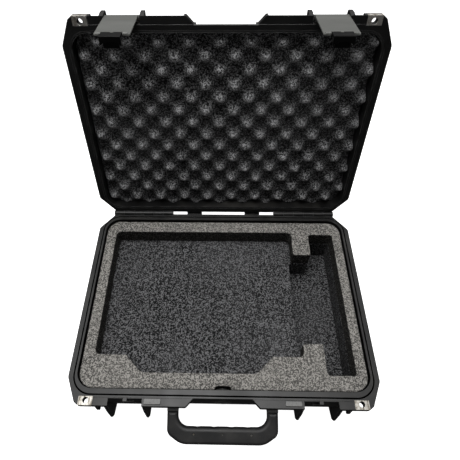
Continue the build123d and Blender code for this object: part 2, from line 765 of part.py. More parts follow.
def lid_fins():
    """Guard fins beside the latches; each pair carries a latch's pin."""
    top = RIM + LID_FIN_RISE
    wall_y = FRONT + LID_INSET_FRONT - WALL / 2
    outline = [
        (wall_y, LID_RIM + 1.5 * EDGE),
        (FRONT + EDGE, LID_RIM + 1.5 * EDGE),
        (FRONT - LID_FIN_PROUD, LID_RIM + SKIRT),
        (FRONT - LID_FIN_PROUD, top - 1.5 * FIN_TOE),
        (FRONT + FIN_TOE, top),
        (wall_y, top + FIN_TOE),
    ]
    fins = Part()
    for side in (-1, 1):
        for inner in (BAY_INNER - FIN, BAY_INNER + BAY_WIDTH):
            x0 = side * inner
            x1 = side * (inner + FIN)
            fin = profile_x(outline, x0, x1, ((3, FIN_ROUND), (4, FIN_ROUND)))
            fins += thin_end(fin, x0, x1, top + FIN_TOE)
        boss_end = side * (LATCH_X - LATCH_WIDTH / 2 - LATCH_SIDE_GAP)
        fins += along_x(
            side * BAY_INNER, boss_end, LATCH_PIN_Y, LATCH_PIN_Z, LATCH_BARREL_R
        )
        web_z = LATCH_PIN_Z + LATCH_BARREL_R
        fins += block(side * BAY_INNER, boss_end, LATCH_PIN_Y, wall_y, LID_RIM + SKIRT / 2, web_z)
    return fins


def lean_front_lip(shell):
    """Leans the lid's front lip in, clear of the latch bays and the padlock plates."""
    plate_end = PADLOCK_X - PLATE_WIDTH / 2 - BOSS_MARGIN
    middle = RECESS_WIDTH / 2 - RIB
    spans = [(-middle, middle, FRONT + RECESS_DEPTH)]
    for side in (-1, 1):
        slope_end = RECESS_WIDTH / 2 + RECESS_SLOPE + RIB
        spans.append((side * slope_end, side * BAY_INNER, FRONT))
        spans.append((side * (BAY_INNER + BAY_WIDTH), side * plate_end, FRONT))
    top = LID_RIM + SKIRT
    for x0, x1, edge in spans:
        inner = edge + SKIRT_WALL
        shell += block(x0, x1, inner - EDGE, inner + LID_LIP_LEAN, LID_RIM + FLANGE / 2, top)
        wedge = [
            (edge - OVER, LID_RIM + 1.5 * EDGE),
            (edge, LID_RIM + 1.5 * EDGE),
            (edge + LID_LIP_LEAN, top),
            (edge + LID_LIP_LEAN, top + OVER),
            (edge - OVER, top + OVER),
        ]
        shell -= profile_x(wedge, x0, x1)
    return shell


def lid_rails():
    """Raised rails across the lid's panel."""
    plan = Sketch()
    for number in range(RAILS):
        y = (number - (RAILS - 1) / 2) * RAIL_SPACING
        plan += Pos(0, y) * RectangleRounded(RAIL_WIDTH, RAIL_DEPTH, RAIL_RADIUS)
    rails = lift(plan, PANEL_TOP - OVER, RIM + LID_HEIGHT)
    return chamfer(rails.faces().group_by(Axis.Z)[-1].edges(), RAIL_CHAMFER)


def seal_plan(inset):
    """Plan of a ring in the seal channel, given its inset from the lid's hollow."""
    return ring_plan(
        LID_INSET_SIDE - inset,
        LID_INSET_FRONT - inset,
        INSET_BACK - inset,
        CAVITY_RADIUS + inset,
    )


def lid_shell():
    """The upper shell, modelled shut."""
    plan = ring_plan(
        LID_INSET_SIDE - WALL, LID_INSET_FRONT - WALL, INSET_BACK - WALL, CAVITY_RADIUS + WALL
    )
    body = lift(plan, LID_RIM, PANEL_TOP, 2 * OUTER_DRAFT)
    body = fillet(body.faces().sort_by(Axis.Z)[-1].edges(), BOTTOM_RADIUS)
    shell = lean_front_lip(flange_with_channel(body, LID_BAY_DEPTH, LID_RIM, 1))
    shell += wall_ribs(
        LID_RIM + FLANGE, PANEL_TOP - BOTTOM_RADIUS, LID_INSET_SIDE - WALL, INSET_BACK - WALL
    )
    shell += lid_rails()
    shell += lid_fins()
    cavity = ring_plan(LID_INSET_SIDE, LID_INSET_FRONT, INSET_BACK, CAVITY_RADIUS)
    shell -= lift(cavity, LID_RIM, LID_RIM + LID_CAVITY, CAVITY_DRAFT)
    channel = seal_plan(SEAL_LIP + SEAL_CHANNEL) - seal_plan(SEAL_LIP)
    shell -= lift(channel, LID_RIM, LID_RIM + SEAL_DEPTH)
    shell -= platform_cut(LID_RIM, 1)
    shell = seat_padlock_plates(shell, LID_RIM, 1)
    for side in (-1, 1):
        shell -= along_x(*latch_pin_span(side), LATCH_PIN_Y, LATCH_PIN_Z, LATCH_PIN_R + PRESS)
    return with_hinge(shell, 1, AXIS_Z + BARREL_R)


def latch_pin_span(side):
    """X range of a latch's pin, through both fins."""
    return tuple(sorted((side * (BAY_INNER - FIN), side * (BAY_INNER + BAY_WIDTH + FIN))))


def lid_gasket():
    """The O-ring in the lid's channel."""
    slack = (SEAL_CHANNEL - SEAL_WIDTH) / 2
    plan = seal_plan(SEAL_LIP + SEAL_CHANNEL - slack) - seal_plan(SEAL_LIP + slack)
    return lift(plan, LID_RIM - SEAL_PROUD, LID_RIM + SEAL_DEPTH)


def lid_foam():
    """The lid's foam: a sheet glued to the panel, with staggered rows of peaks."""
    plan = ring_plan(
        LID_INSET_SIDE + LID_FOAM_GAP,
        LID_INSET_FRONT + LID_FOAM_GAP,
        INSET_BACK + LID_FOAM_GAP,
        CAVITY_RADIUS - LID_FOAM_GAP,
    )
    ceiling = LID_RIM + LID_CAVITY
    sheet_z = ceiling - LID_FOAM_SHEET
    sheet = lift(plan, ceiling, sheet_z)
    half_x = SIDE - LID_INSET_SIDE - LID_FOAM_GAP - PEAK_R / 2
    last_y = BACK - INSET_BACK - LID_FOAM_GAP - PEAK_R / 2
    count = int(half_x / PEAK_PITCH_X) + 1
    peaks = Sketch()
    row = 0
    y = FRONT + PEAK_FIRST_Y
    while y < last_y:
        shift = PEAK_SHIFT_X + PEAK_PITCH_X / 2 * (row % 2)
        for number in range(-count, count + 1):
            x = number * PEAK_PITCH_X + shift
            if abs(x) < half_x:
                peaks += Pos(x, y) * Circle(PEAK_R)
        y += PEAK_PITCH_Y
        row += 1
    bumps = lift(peaks, sheet_z, sheet_z - PEAK, PEAK_DRAFT)
    return sheet + (bumps & lift(plan, ceiling, sheet_z - PEAK))


# ---------------------------------------------------------------- latches


def plate_y(z):
    """Outer face of a latch's plate at a height, as it leans on its stop."""
    return LATCH_PIN_Y - LATCH_BARREL_R + (LATCH_PIN_Z - z) * math.tan(LEAN)


def trigger_pin_y():
    """The trigger's pin lies in the thickness of the plate's legs."""
    return plate_y(TRIGGER_PIN_Z) + TRIGGER_BARREL_R - TRIGGER_PROUD


def nose_tip_y():
    """Inner end of the trigger's nose."""
    return trigger_pin_y() + TRIGGER_BARREL_R + NOSE_PROUD


def strike_edge_y():
    """Front edge of the strike: the nose reaches under it."""
    return nose_tip_y() - NOSE_REACH


def latch_body(side):
    """The latch: a plate hung on a barrel, with a stop rib and two legs for the trigger."""
    x0 = side * LATCH_X - LATCH_WIDTH / 2
    x1 = x0 + LATCH_WIDTH
    low = LATCH_PIN_Z - LATCH_LENGTH
    plate = profile_x(
        [
            (plate_y(LATCH_PIN_Z), LATCH_PIN_Z),
            (plate_y(low), low),
            (plate_y(low) + LATCH_PLATE, low),
            (plate_y(LATCH_PIN_Z) + LATCH_PLATE, LATCH_PIN_Z),
        ],
        x0,
        x1,
    )
    corners = plate.edges().filter_by(Axis.Y).group_by(Axis.Z)[0]
    plate = fillet(corners, LATCH_CORNER)
    latch = plate + along_x(x0, x1, LATCH_PIN_Y, LATCH_PIN_Z, LATCH_BARREL_R)
    stop_z = LID_RIM + SKIRT / 2
    for shift in (-LATCH_WIDTH / 3, LATCH_WIDTH / 3):
        x = side * LATCH_X + shift
        latch += block(
            x - RIB / 2,
            x + RIB / 2,
            plate_y(stop_z) + LATCH_PLATE / 2,
            LID_BAY_Y - STOP_GAP,
            stop_z - RIB / 2,
            stop_z + RIB / 2,
        )
    boss_y = trigger_pin_y()
    boss_x = side * LATCH_X - WINDOW_WIDTH / 2 - LEG_BOSS
    boss_length = WINDOW_WIDTH + 2 * LEG_BOSS
    latch += along_x(boss_x, boss_x + boss_length, boss_y, TRIGGER_PIN_Z, TRIGGER_BARREL_R)
    window_x = side * LATCH_X
    window_top = LATCH_PIN_Z - WINDOW_TOP
    latch -= block(
        window_x - WINDOW_WIDTH / 2,
        window_x + WINDOW_WIDTH / 2,
        boss_y - 3 * LATCH_PLATE,
        boss_y + 3 * LATCH_PLATE,
        low - OVER,
        window_top,
    )
    latch -= along_x(x0 - OVER, x1 + OVER, LATCH_PIN_Y, LATCH_PIN_Z, LATCH_PIN_R + RUNNING)
    latch -= along_x(*trigger_pin_span(side), boss_y, TRIGGER_PIN_Z, TRIGGER_PIN_R + PRESS)
    return latch


def trigger_pin_span(side):
    """X range of a trigger's pin, into both legs of its latch."""
    half = WINDOW_WIDTH / 2 + LEG_BOSS
    return side * LATCH_X - half, side * LATCH_X + half


def trigger(side):
    """The trigger: a lever on a barrel, with a curved lip below and the latching nose."""
    x0 = side * LATCH_X - TRIGGER_WIDTH / 2
    x1 = x0 + TRIGGER_WIDTH
    pin_y = trigger_pin_y()
    outer = pin_y - TRIGGER_BARREL_R
    inner = outer + TRIGGER_PLATE
    low = TRIGGER_PIN_Z - TRIGGER_LENGTH
    lip_y = outer + LIP_DEPTH
    lever = profile_x(
        [
            (outer, TRIGGER_PIN_Z),
            (outer, low),
            (lip_y, low),
            (lip_y, low + LIP),
            (inner, low + LIP),
            (inner, TRIGGER_PIN_Z),
        ],
        x0,
        x1,
        ((1, LIP_ROUND),),
    )
    arch_r = (TRIGGER_WIDTH**2 / 4 + LIP_ARCH**2) / (2 * LIP_ARCH)
    arch = Pos(side * LATCH_X, lip_y - LIP_ARCH + arch_r) * Circle(arch_r)
    lever -= lift(arch, low - OVER, low + LIP + OVER)
    lever += along_x(x0, x1, pin_y, TRIGGER_PIN_Z, TRIGGER_BARREL_R)
    lever += trigger_nose(side, inner)
    room = (SPRING_TURNS + 2) * SPRING_PITCH / 2
    lever -= block(
        side * LATCH_X - room,
        side * LATCH_X + room,
        pin_y - 2 * TRIGGER_BARREL_R,
        pin_y + 2 * TRIGGER_BARREL_R,
        TRIGGER_PIN_Z - TRIGGER_BARREL_R,
        TRIGGER_PIN_Z + 2 * TRIGGER_BARREL_R,
    )
    bore = TRIGGER_PIN_R + RUNNING
    return lever - along_x(x0 - OVER, x1 + OVER, pin_y, TRIGGER_PIN_Z, bore)


def trigger_nose(side, inner):
    """The nose on the trigger's inner face, bevelled underneath."""
    top = RIM - STRIKE_DROP - STRIKE - STRIKE_GAP
    tip = nose_tip_y()
    outline = [
        (inner - OVER, top),
        (tip, top),
        (tip, top - NOSE_FACE),
        (inner, top - NOSE),
        (inner - OVER, top - NOSE),
    ]
    middle = side * LATCH_X
    return profile_x(outline, middle - STRIKE_WIDTH / 2, middle + STRIKE_WIDTH / 2)


def trigger_spring(side):
    """A torsion spring round the trigger's pin, between the latch and the trigger."""
    x = side * LATCH_X
    radius = TRIGGER_PIN_R + SPRING_GAP + SPRING_WIRE / 2
    length = SPRING_TURNS * SPRING_PITCH
    path = Helix(SPRING_PITCH, length, radius)
    section = Plane(path @ 0, z_dir=path % 0) * Circle(SPRING_WIRE / 2)
    coil = sweep(section, path, is_frenet=True)
    place = Pos(x - length / 2, trigger_pin_y(), TRIGGER_PIN_Z) * Rot(0, 90, 0)
    return place * coil


# ---------------------------------------------------------------- handle


def handle_place():
    """Places a sketch drawn with +Y from the pivot to the grip at the handle's rest angle."""
    dip = math.radians(HANDLE_DIP)
    return Plane(
        origin=(0, HANDLE_Y, HANDLE_Z),
        x_dir=(-1, 0, 0),
        z_dir=(0, -math.sin(dip), math.cos(dip)),
    )


def handle_outline(inset, start):
    """The U of the handle, thinned by an inset all round, from a start line outwards."""
    half = HANDLE_HALF - inset
    reach = HANDLE_REACH - inset
    right = [
        (half, start),
        (half, HANDLE_REACH - GRIP_CORNER_Y),
        (HANDLE_HALF - GRIP_CORNER_X, reach),
    ]
    outer = right + [(-x, y) for x, y in reversed(right)]
    face = Polygon(*outer, align=None)
    for (x, y), radius in zip(right[1:], (LEG_ROUND, GRIP_ROUND)):
        for sign in (-1, 1):
            corner = face.vertices().sort_by_distance(Vector(sign * x, y))[0]
            face = fillet(corner, radius)
    hole_half = HANDLE_HALF - HANDLE_LEG + inset
    hole_reach = HANDLE_REACH - GRIP + inset
    height = 2 * hole_reach
    hole = RectangleRounded(2 * hole_half, height, GRIP_INNER_CORNER)
    return face - hole


def handle_frame():
    """The handle's stiff frame: a U with an eye at each end and studs for the screws."""
    plane = handle_place()
    core = handle_outline(CORE, 0.0)
    frame = extrude(plane * core, CORE_THICK / 2, both=True)
    for side in (-1, 1):
        low, high = leg_span(side)
        frame += along_x(low, high, HANDLE_Y, HANDLE_Z, HANDLE_EYE_R)
        leg = Pos(-(low + high) / 2, GRIP_START / 2) * Rectangle(HANDLE_LEG, GRIP_START)
        frame += extrude(plane * leg, HANDLE_EYE_R, both=True)
        bore = HANDLE_PIN_R + RUNNING
        frame -= along_x(low - OVER, high + OVER, HANDLE_Y, HANDLE_Z, bore)
    for number in SCREWS.values():
        stud = screw_centre(number) * Circle(SCREW_HEAD_R)
        frame += extrude(plane * stud, GRIP_THICK / 2 - SCREW_HEAD)
    return frame


def screw_centre(number):
    """Place of a screw in the handle's own sketch."""
    return Pos(-number * SCREW_PITCH, SCREW_REACH)


def grip_screw(number):
    """A screw with a domed head, seated on a stud of the frame, flush with the covering."""
    plane = handle_place()
    seat = GRIP_THICK / 2 - SCREW_HEAD
    centre = screw_centre(number)
    head = centre * Pos(0, 0, seat + SCREW_HEAD / 2) * Cylinder(SCREW_HEAD_R, SCREW_HEAD)
    head = fillet(head.faces().sort_by(Axis.Z)[-1].edges(), SCREW_DOME)
    shank = centre * Pos(0, 0, seat - SCREW_LENGTH / 2) * Cylinder(SCREW_R, SCREW_LENGTH)
    return plane * (head + shank)


def leg_span(side):
    """X range of one leg of the handle."""
    return tuple(sorted((side * (HANDLE_HALF - HANDLE_LEG), side * HANDLE_HALF)))


def handle_grip(inside):
    """Soft covering moulded over what is inside it, with finger waves inside the grip."""
    plane = handle_place()
    outline = handle_outline(0.0, GRIP_START)
    grip = extrude(plane * outline, GRIP_THICK / 2, both=True)
    flat = grip.faces().sort_by(Axis(plane.origin, plane.z_dir))
    grip = fillet(flat[0].edges() + flat[-1].edges(), GRIP_EDGE)
    wave = 2 * (HANDLE_HALF - HANDLE_LEG - GRIP_INNER_CORNER) / FINGERS
    radius = (wave * wave / 16 + FINGER_DEPTH * FINGER_DEPTH) / (2 * FINGER_DEPTH)
    edge = HANDLE_REACH - GRIP
    for number in range(FINGERS):
        x = (number - (FINGERS - 1) / 2) * wave
        dent = Pos(x, edge + FINGER_DEPTH - radius) * Circle(radius)
        grip -= extrude(plane * dent, GRIP_THICK, both=True)
    for shape in inside:
        grip -= shape
    return grip


# ---------------------------------------------------------------- purge valve


def valve_body():
    """The valve's disc and its hollow stem, which goes through the front wall."""
    face = VALVE_SEAT_Y - VALVE_REACH
    stem_end = WALL_FRONT + WALL + VALVE_NUT_LENGTH + VALVE_STEM_PROUD
    body = along_y(VALVE_SEAT_Y, face, 0, VALVE_Z, VALVE_R)
    body = chamfer(body.faces().sort_by(Axis.Y)[0].edges(), VALVE_CHAMFER)
    body += along_y(VALVE_SEAT_Y, stem_end, 0, VALVE_Z, VALVE_STEM_R)
    body -= along_y(face + VALVE_DISC, stem_end + OVER, 0, VALVE_Z, VALVE_STEM_BORE)
    body -= along_y(face - OVER, face + VALVE_CAP_SEAT, 0, VALVE_Z, VALVE_CAP_R + PRESS)
    body -= valve_seal()
    for number in range(VENTS):
        vent = along_y(0, VALVE_CAP_SEAT - VALVE_REACH, VENT_RING_R, 0, VENT_R)
        body -= Pos(0, VALVE_SEAT_Y, VALVE_Z) * Rot(0, 360 / VENTS * number, 0) * vent
    return body


def valve_seal():
    """The O-ring between the valve's disc and the wall."""
    y1 = VALVE_SEAT_Y - VALVE_SEAL
    ring = along_y(VALVE_SEAT_Y, y1, 0, VALVE_Z, VALVE_SEAL_R + VALVE_SEAL / 2)
    hole_r = VALVE_SEAL_R - VALVE_SEAL / 2
    return ring - along_y(VALVE_SEAT_Y + OVER, y1 - OVER, 0, VALVE_Z, hole_r)


def valve_cap():
    """The cap pressed into the valve's face, with a coin slot."""
    face = VALVE_SEAT_Y - VALVE_REACH
    near = face - VALVE_CAP_PROUD
    cap = along_y(face + VALVE_CAP_SEAT, near, 0, VALVE_Z, VALVE_CAP_R)
    cap = fillet(cap.faces().sort_by(Axis.Y)[0].edges(), VALVE_CAP_PROUD)
    half = COIN_SLOT_LENGTH / 2
    low = VALVE_Z - COIN_SLOT / 2
    return cap - block(-half, half, near - OVER, near + COIN_SLOT, low, low + COIN_SLOT)


def valve_membrane():
    """The breathing membrane across the stem's inside."""
    y = VALVE_SEAT_Y - VALVE_REACH + VALVE_DISC
    return along_y(y, y + MEMBRANE, 0, VALVE_Z, VALVE_STEM_BORE - PRESS)


def valve_nut():
    """The nut on the stem, inside the base."""
    y0 = WALL_FRONT + WALL + VALVE_NUT_GAP
    hexagon = RegularPolygon(VALVE_NUT / 2, 6, major_radius=False, rotation=30)
    plane = Plane(origin=(0, y0, VALVE_Z), x_dir=(1, 0, 0), z_dir=(0, 1, 0))
    nut = extrude(plane * hexagon, VALVE_NUT_LENGTH)
    y1 = y0 + VALVE_NUT_LENGTH
    return nut - along_y(y0 - OVER, y1 + OVER, 0, VALVE_Z, VALVE_STEM_R + PRESS)


# ---------------------------------------------------------------- foam insert


def foam_plan():
    """Plan of the foam insert."""
    radius = CAVITY_RADIUS - (FOAM_INSET_SIDE - INSET_SIDE)
    return ring_plan(FOAM_INSET_SIDE, FOAM_INSET_FRONT, FOAM_INSET_BACK, radius)


def laptop_plan():
    """The laptop recess, with its bulge towards the front."""
    x0 = -SIDE + LAPTOP_LEFT
    y0 = FRONT + LAPTOP_FRONT
    x = x0 + LAPTOP_WIDTH / 2
    plan = Pos(x, y0 + LAPTOP_DEPTH / 2) * RectangleRounded(
        LAPTOP_WIDTH, LAPTOP_DEPTH, LAPTOP_RADIUS
    )
    half = BULGE_WIDTH / 2
    bulge = Polygon(
        (x - half - BULGE_DEPTH, y0 + OVER),
        (x - half, y0 - BULGE_DEPTH),
        (x + half, y0 - BULGE_DEPTH),
        (x + half + BULGE_DEPTH, y0 + OVER),
        align=None,
    )
    near = bulge.vertices().group_by(Axis.Y)[0]
    return plan + fillet(near, 2 * LAPTOP_RADIUS)


def pocket_plan():
    """The accessory pocket: a long channel, and a wide part that opens into the recess."""
    x1 = SIDE - POCKET_RIGHT
    x0 = x1 - POCKET_WIDTH
    y0 = FRONT + POCKET_FRONT
    channel = Pos((x0 + x1) / 2, y0 + POCKET_LENGTH / 2) * RectangleRounded(
        POCKET_WIDTH, POCKET_LENGTH, POCKET_RADIUS
    )
    recess_x = -SIDE + LAPTOP_LEFT + LAPTOP_WIDTH
    wide_y = FRONT + POCKET_WIDE_FRONT
    wide_x0 = recess_x - POCKET_RADIUS
    wide_x1 = x0 + POCKET_RADIUS
    wide = Pos((wide_x0 + wide_x1) / 2, wide_y + POCKET_WIDE / 2)
    return channel + wide * Rectangle(wide_x1 - wide_x0, POCKET_WIDE)


def valve_notch():
    """Plan of the notch in front of the valve's nut."""
    y0 = FRONT + FOAM_INSET_FRONT
    y1 = y0 + NOTCH_DEPTH
    return Pos(0, (y0 - OVER + y1) / 2) * Rectangle(NOTCH_WIDTH, y1 - y0 + OVER)


def foam_floor():
    """The bottom sheet of the insert."""
    return lift(foam_plan(), FLOOR_TOP, FOAM_FLOOR_TOP)


def foam_middle():
    """The middle block, cut through for the accessory pocket."""
    return lift(foam_plan() - pocket_plan(), FOAM_FLOOR_TOP, RECESS_FLOOR)


def foam_top():
    """The top layer, cut through for the laptop, the pocket and the valve's nut."""
    plan = foam_plan() - laptop_plan() - pocket_plan() - valve_notch()
    return lift(plan, RECESS_FLOOR, FOAM_TOP)


# ---------------------------------------------------------------- assembly


def base_nodes():
    """Everything that stays with the base."""
    nodes = {
        "base_shell": base_shell(),
        "foam_floor": foam_floor(),
        "foam_middle": foam_middle(),
        "foam_top": foam_top(),
        "valve_body": valve_body(),
        "valve_seal": valve_seal(),
        "valve_cap": valve_cap(),
        "valve_membrane": valve_membrane(),
        "valve_nut": valve_nut(),
    }
    for name, side in SIDES:
        nodes[f"base_padlock_plate_{name}"] = padlock_plate(side, RIM, -1)
        outer = side * (HINGE_END - HINGE_PIN_SHORT)
        inner = side * (HINGE_END - KNUCKLES * KNUCKLE + HINGE_PIN_SHORT)
        nodes[f"hinge_pin_{name}"] = along_x(outer, inner, AXIS_Y, AXIS_Z, HINGE_PIN_R)
        low = side * (HANDLE_HALF - HANDLE_LEG - LUG_GAP - LUG)
        high = side * (HANDLE_HALF + LUG_GAP + LUG)
        nodes[f"handle_pin_{name}"] = along_x(low, high, HANDLE_Y, HANDLE_Z, HANDLE_PIN_R)
    return nodes


def lid_nodes():
    """Everything that swings with the lid, the latches included, modelled shut."""
    nodes = {
        "lid_shell": lid_shell(),
        "lid_gasket": lid_gasket(),
        "lid_foam": lid_foam(),
    }
    for name, side in SIDES:
        nodes[f"lid_padlock_plate_{name}"] = padlock_plate(side, LID_RIM, 1)
        nodes[f"latch_pin_{name}"] = along_x(
            *latch_pin_span(side), LATCH_PIN_Y, LATCH_PIN_Z, LATCH_PIN_R
        )
        nodes[f"latch_body_{name}"] = latch_body(side)
        nodes[f"trigger_pin_{name}"] = along_x(
            *trigger_pin_span(side), trigger_pin_y(), TRIGGER_PIN_Z, TRIGGER_PIN_R
        )
        nodes[f"trigger_{name}"] = trigger(side)
        nodes[f"trigger_spring_{name}"] = trigger_spring(side)
    return nodes


def handle_nodes():
    """The handle's frame, its screws and the grip moulded over them."""
    frame = handle_frame()
    nodes = {}
    for name, number in SCREWS.items():
        nodes[f"grip_screw_{name}"] = grip_screw(number)
    grip = handle_grip((frame, *nodes.values()))
    for screw in nodes.values():
        frame -= screw
    return {"handle_frame": frame, "handle_grip": grip} | nodes


def main():
    """Write every node at rest: the lid swung open, the rest as modelled."""
    nodes = base_nodes() | handle_nodes()
    for name, shape in lid_nodes().items():
        nodes[name] = shape.rotate(HINGE_AXIS, -LID_OPEN)
    for name, shape in nodes.items():
        export_step(shape, f"parts/{name}.step")


main()
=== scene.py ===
"""Looks of a laptop hard case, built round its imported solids.

Metres. X is the width, Y runs from the front (-) to the hinges (+), Z is up, and the origin
is the middle of the underside. Pieces of the lid are shaped with the lid shut and then
swung open about the hinge, as the solids are.
"""

import json
import logging
import math
from collections.abc import Iterable
from dataclasses import dataclass, field, replace
from enum import Enum

import bmesh
import bpy
import numpy as np
from mathutils import Matrix, Vector, noise


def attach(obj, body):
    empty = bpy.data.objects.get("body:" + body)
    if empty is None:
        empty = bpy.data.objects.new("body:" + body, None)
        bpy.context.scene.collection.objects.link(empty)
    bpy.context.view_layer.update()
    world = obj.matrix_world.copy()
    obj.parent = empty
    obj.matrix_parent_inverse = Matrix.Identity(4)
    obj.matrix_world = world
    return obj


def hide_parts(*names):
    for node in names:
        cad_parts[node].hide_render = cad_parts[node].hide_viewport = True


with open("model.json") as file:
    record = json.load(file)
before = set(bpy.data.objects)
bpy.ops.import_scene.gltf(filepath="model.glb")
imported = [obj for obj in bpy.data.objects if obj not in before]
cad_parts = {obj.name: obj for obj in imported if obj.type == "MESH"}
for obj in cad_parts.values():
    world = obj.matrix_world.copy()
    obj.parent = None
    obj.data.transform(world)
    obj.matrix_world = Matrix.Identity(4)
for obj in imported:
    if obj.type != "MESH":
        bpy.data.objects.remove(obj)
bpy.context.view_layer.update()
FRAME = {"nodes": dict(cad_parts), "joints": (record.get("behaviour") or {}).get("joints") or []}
LOG = logging.getLogger("laptop_case")
MM = 0.001
SEED = 7  # the noise's seed, so that each run gives the same foam
SIDES = ("left", "right")
MIX_FIRST, MIX_SECOND, MIX_RESULT = 6, 7, 2  # a Mix node's colour sockets
Colour = tuple[float, float, float]
Given = bpy.types.NodeSocket | tuple | float  # what an input takes: an output or a value


# ---------------------------------------------------------------- node building


class Wiring:
    """Adds and joins the nodes of one material or node group."""

    def __init__(self, tree: bpy.types.NodeTree) -> None:
        """Starts on a tree.

        Args:
            tree: The node tree that gets the nodes.
        """
        self.tree = tree

    def add(self, kind: str, settings: dict | None = None, **inputs) -> bpy.types.Node:
        """Adds a node.

        Args:
            kind: The node's type, without its ShaderNode prefix.
            settings: Properties of the node itself.
            **inputs: Values or outputs for its sockets, by name with _ for a space, or by
                number as i0, i1 and so on.

        Returns:
            The new node.
        """
        node = self.tree.nodes.new("ShaderNode" + kind)
        for name, value in (settings or {}).items():
            setattr(node, name, value)
        for name, value in inputs.items():
            number = name[1:] if name[0] == "i" and name[1:].isdigit() else None
            key = int(number) if number else name.replace("_", " ")
            self.feed(value, node.inputs[key])
        return node

    def feed(self, value: Given, socket: bpy.types.NodeSocket) -> None:
        """Links an output to a socket, or sets the socket's own value.

        Args:
            value: The output or the value.
            socket: The input that gets it.
        """
        if isinstance(value, bpy.types.NodeSocket):
            self.tree.links.new(value, socket)
        else:
            socket.default_value = value

    def math(self, operation: str, *values: Given) -> bpy.types.NodeSocket:
        """Does a sum with a Math node.

        Args:
            operation: The node's operation.
            *values: One to three values or outputs.

        Returns:
            The result's output.
        """
        inputs = {f"i{k}": value for k, value in enumerate(values)}
        return self.add("Math", {"operation": operation}, **inputs).outputs[0]

    def span(
        self, value: Given, low: float, high: float, to_low: Given = 0.0, to_high: Given = 1.0
    ) -> bpy.types.NodeSocket:
        """Maps a value smoothly from one range to another, clamped.

        Args:
            value: The output to map.
            low: Start of its range.
            high: End of its range.
            to_low: Result at the start.
            to_high: Result at the end.

        Returns:
            The mapped output.
        """
        settings = {"interpolation_type": "SMOOTHSTEP"}
        node = self.add(
            "MapRange", settings, Value=value, From_Min=low, From_Max=high, To_Min=to_low,
            To_Max=to_high,
        )
        return node.outputs["Result"]

    def mix(
        self, share: Given, first: Given, second: Given, blend: str = "MIX"
    ) -> bpy.types.NodeSocket:
        """Blends two colours.

        Args:
            share: How much of the second one goes in, from 0 to 1.
            first: The colour underneath.
            second: The colour on top.
            blend: How they are put together.

        Returns:
            The blended colour's output.
        """
        node = self.add("Mix", {"data_type": "RGBA", "blend_type": blend})
        self.feed(share, node.inputs[0])
        self.feed(first, node.inputs[MIX_FIRST])
        self.feed(second, node.inputs[MIX_SECOND])
        return node.outputs[MIX_RESULT]

    def noise(
        self, place: Given, scale: Given, detail: float = 2.0, roughness: float = 0.5
    ) -> bpy.types.NodeSocket:
        """A noise texture's value.

        Args:
            place: The coordinates.
            scale: Cells in a metre.
            detail: Octaves.
            roughness: Share of each next octave.

        Returns:
            The value output.
        """
        inputs = {"Vector": place, "Scale": scale, "Detail": detail, "Roughness": roughness}
        return self.add("TexNoise", None, **inputs).outputs["Fac"]


class Effect(Enum):
    """The node groups that materials share."""

    GRAIN = "mould_grain"
    # Edges: handling scuffs together with a painted highlight along them.
    WEAR_AND_HIGHLIGHT = "edge_wear_and_highlight"
    DUST = "settled_dust"
    PORES = "foam_pores"
    BRUSH = "drawn_lines"


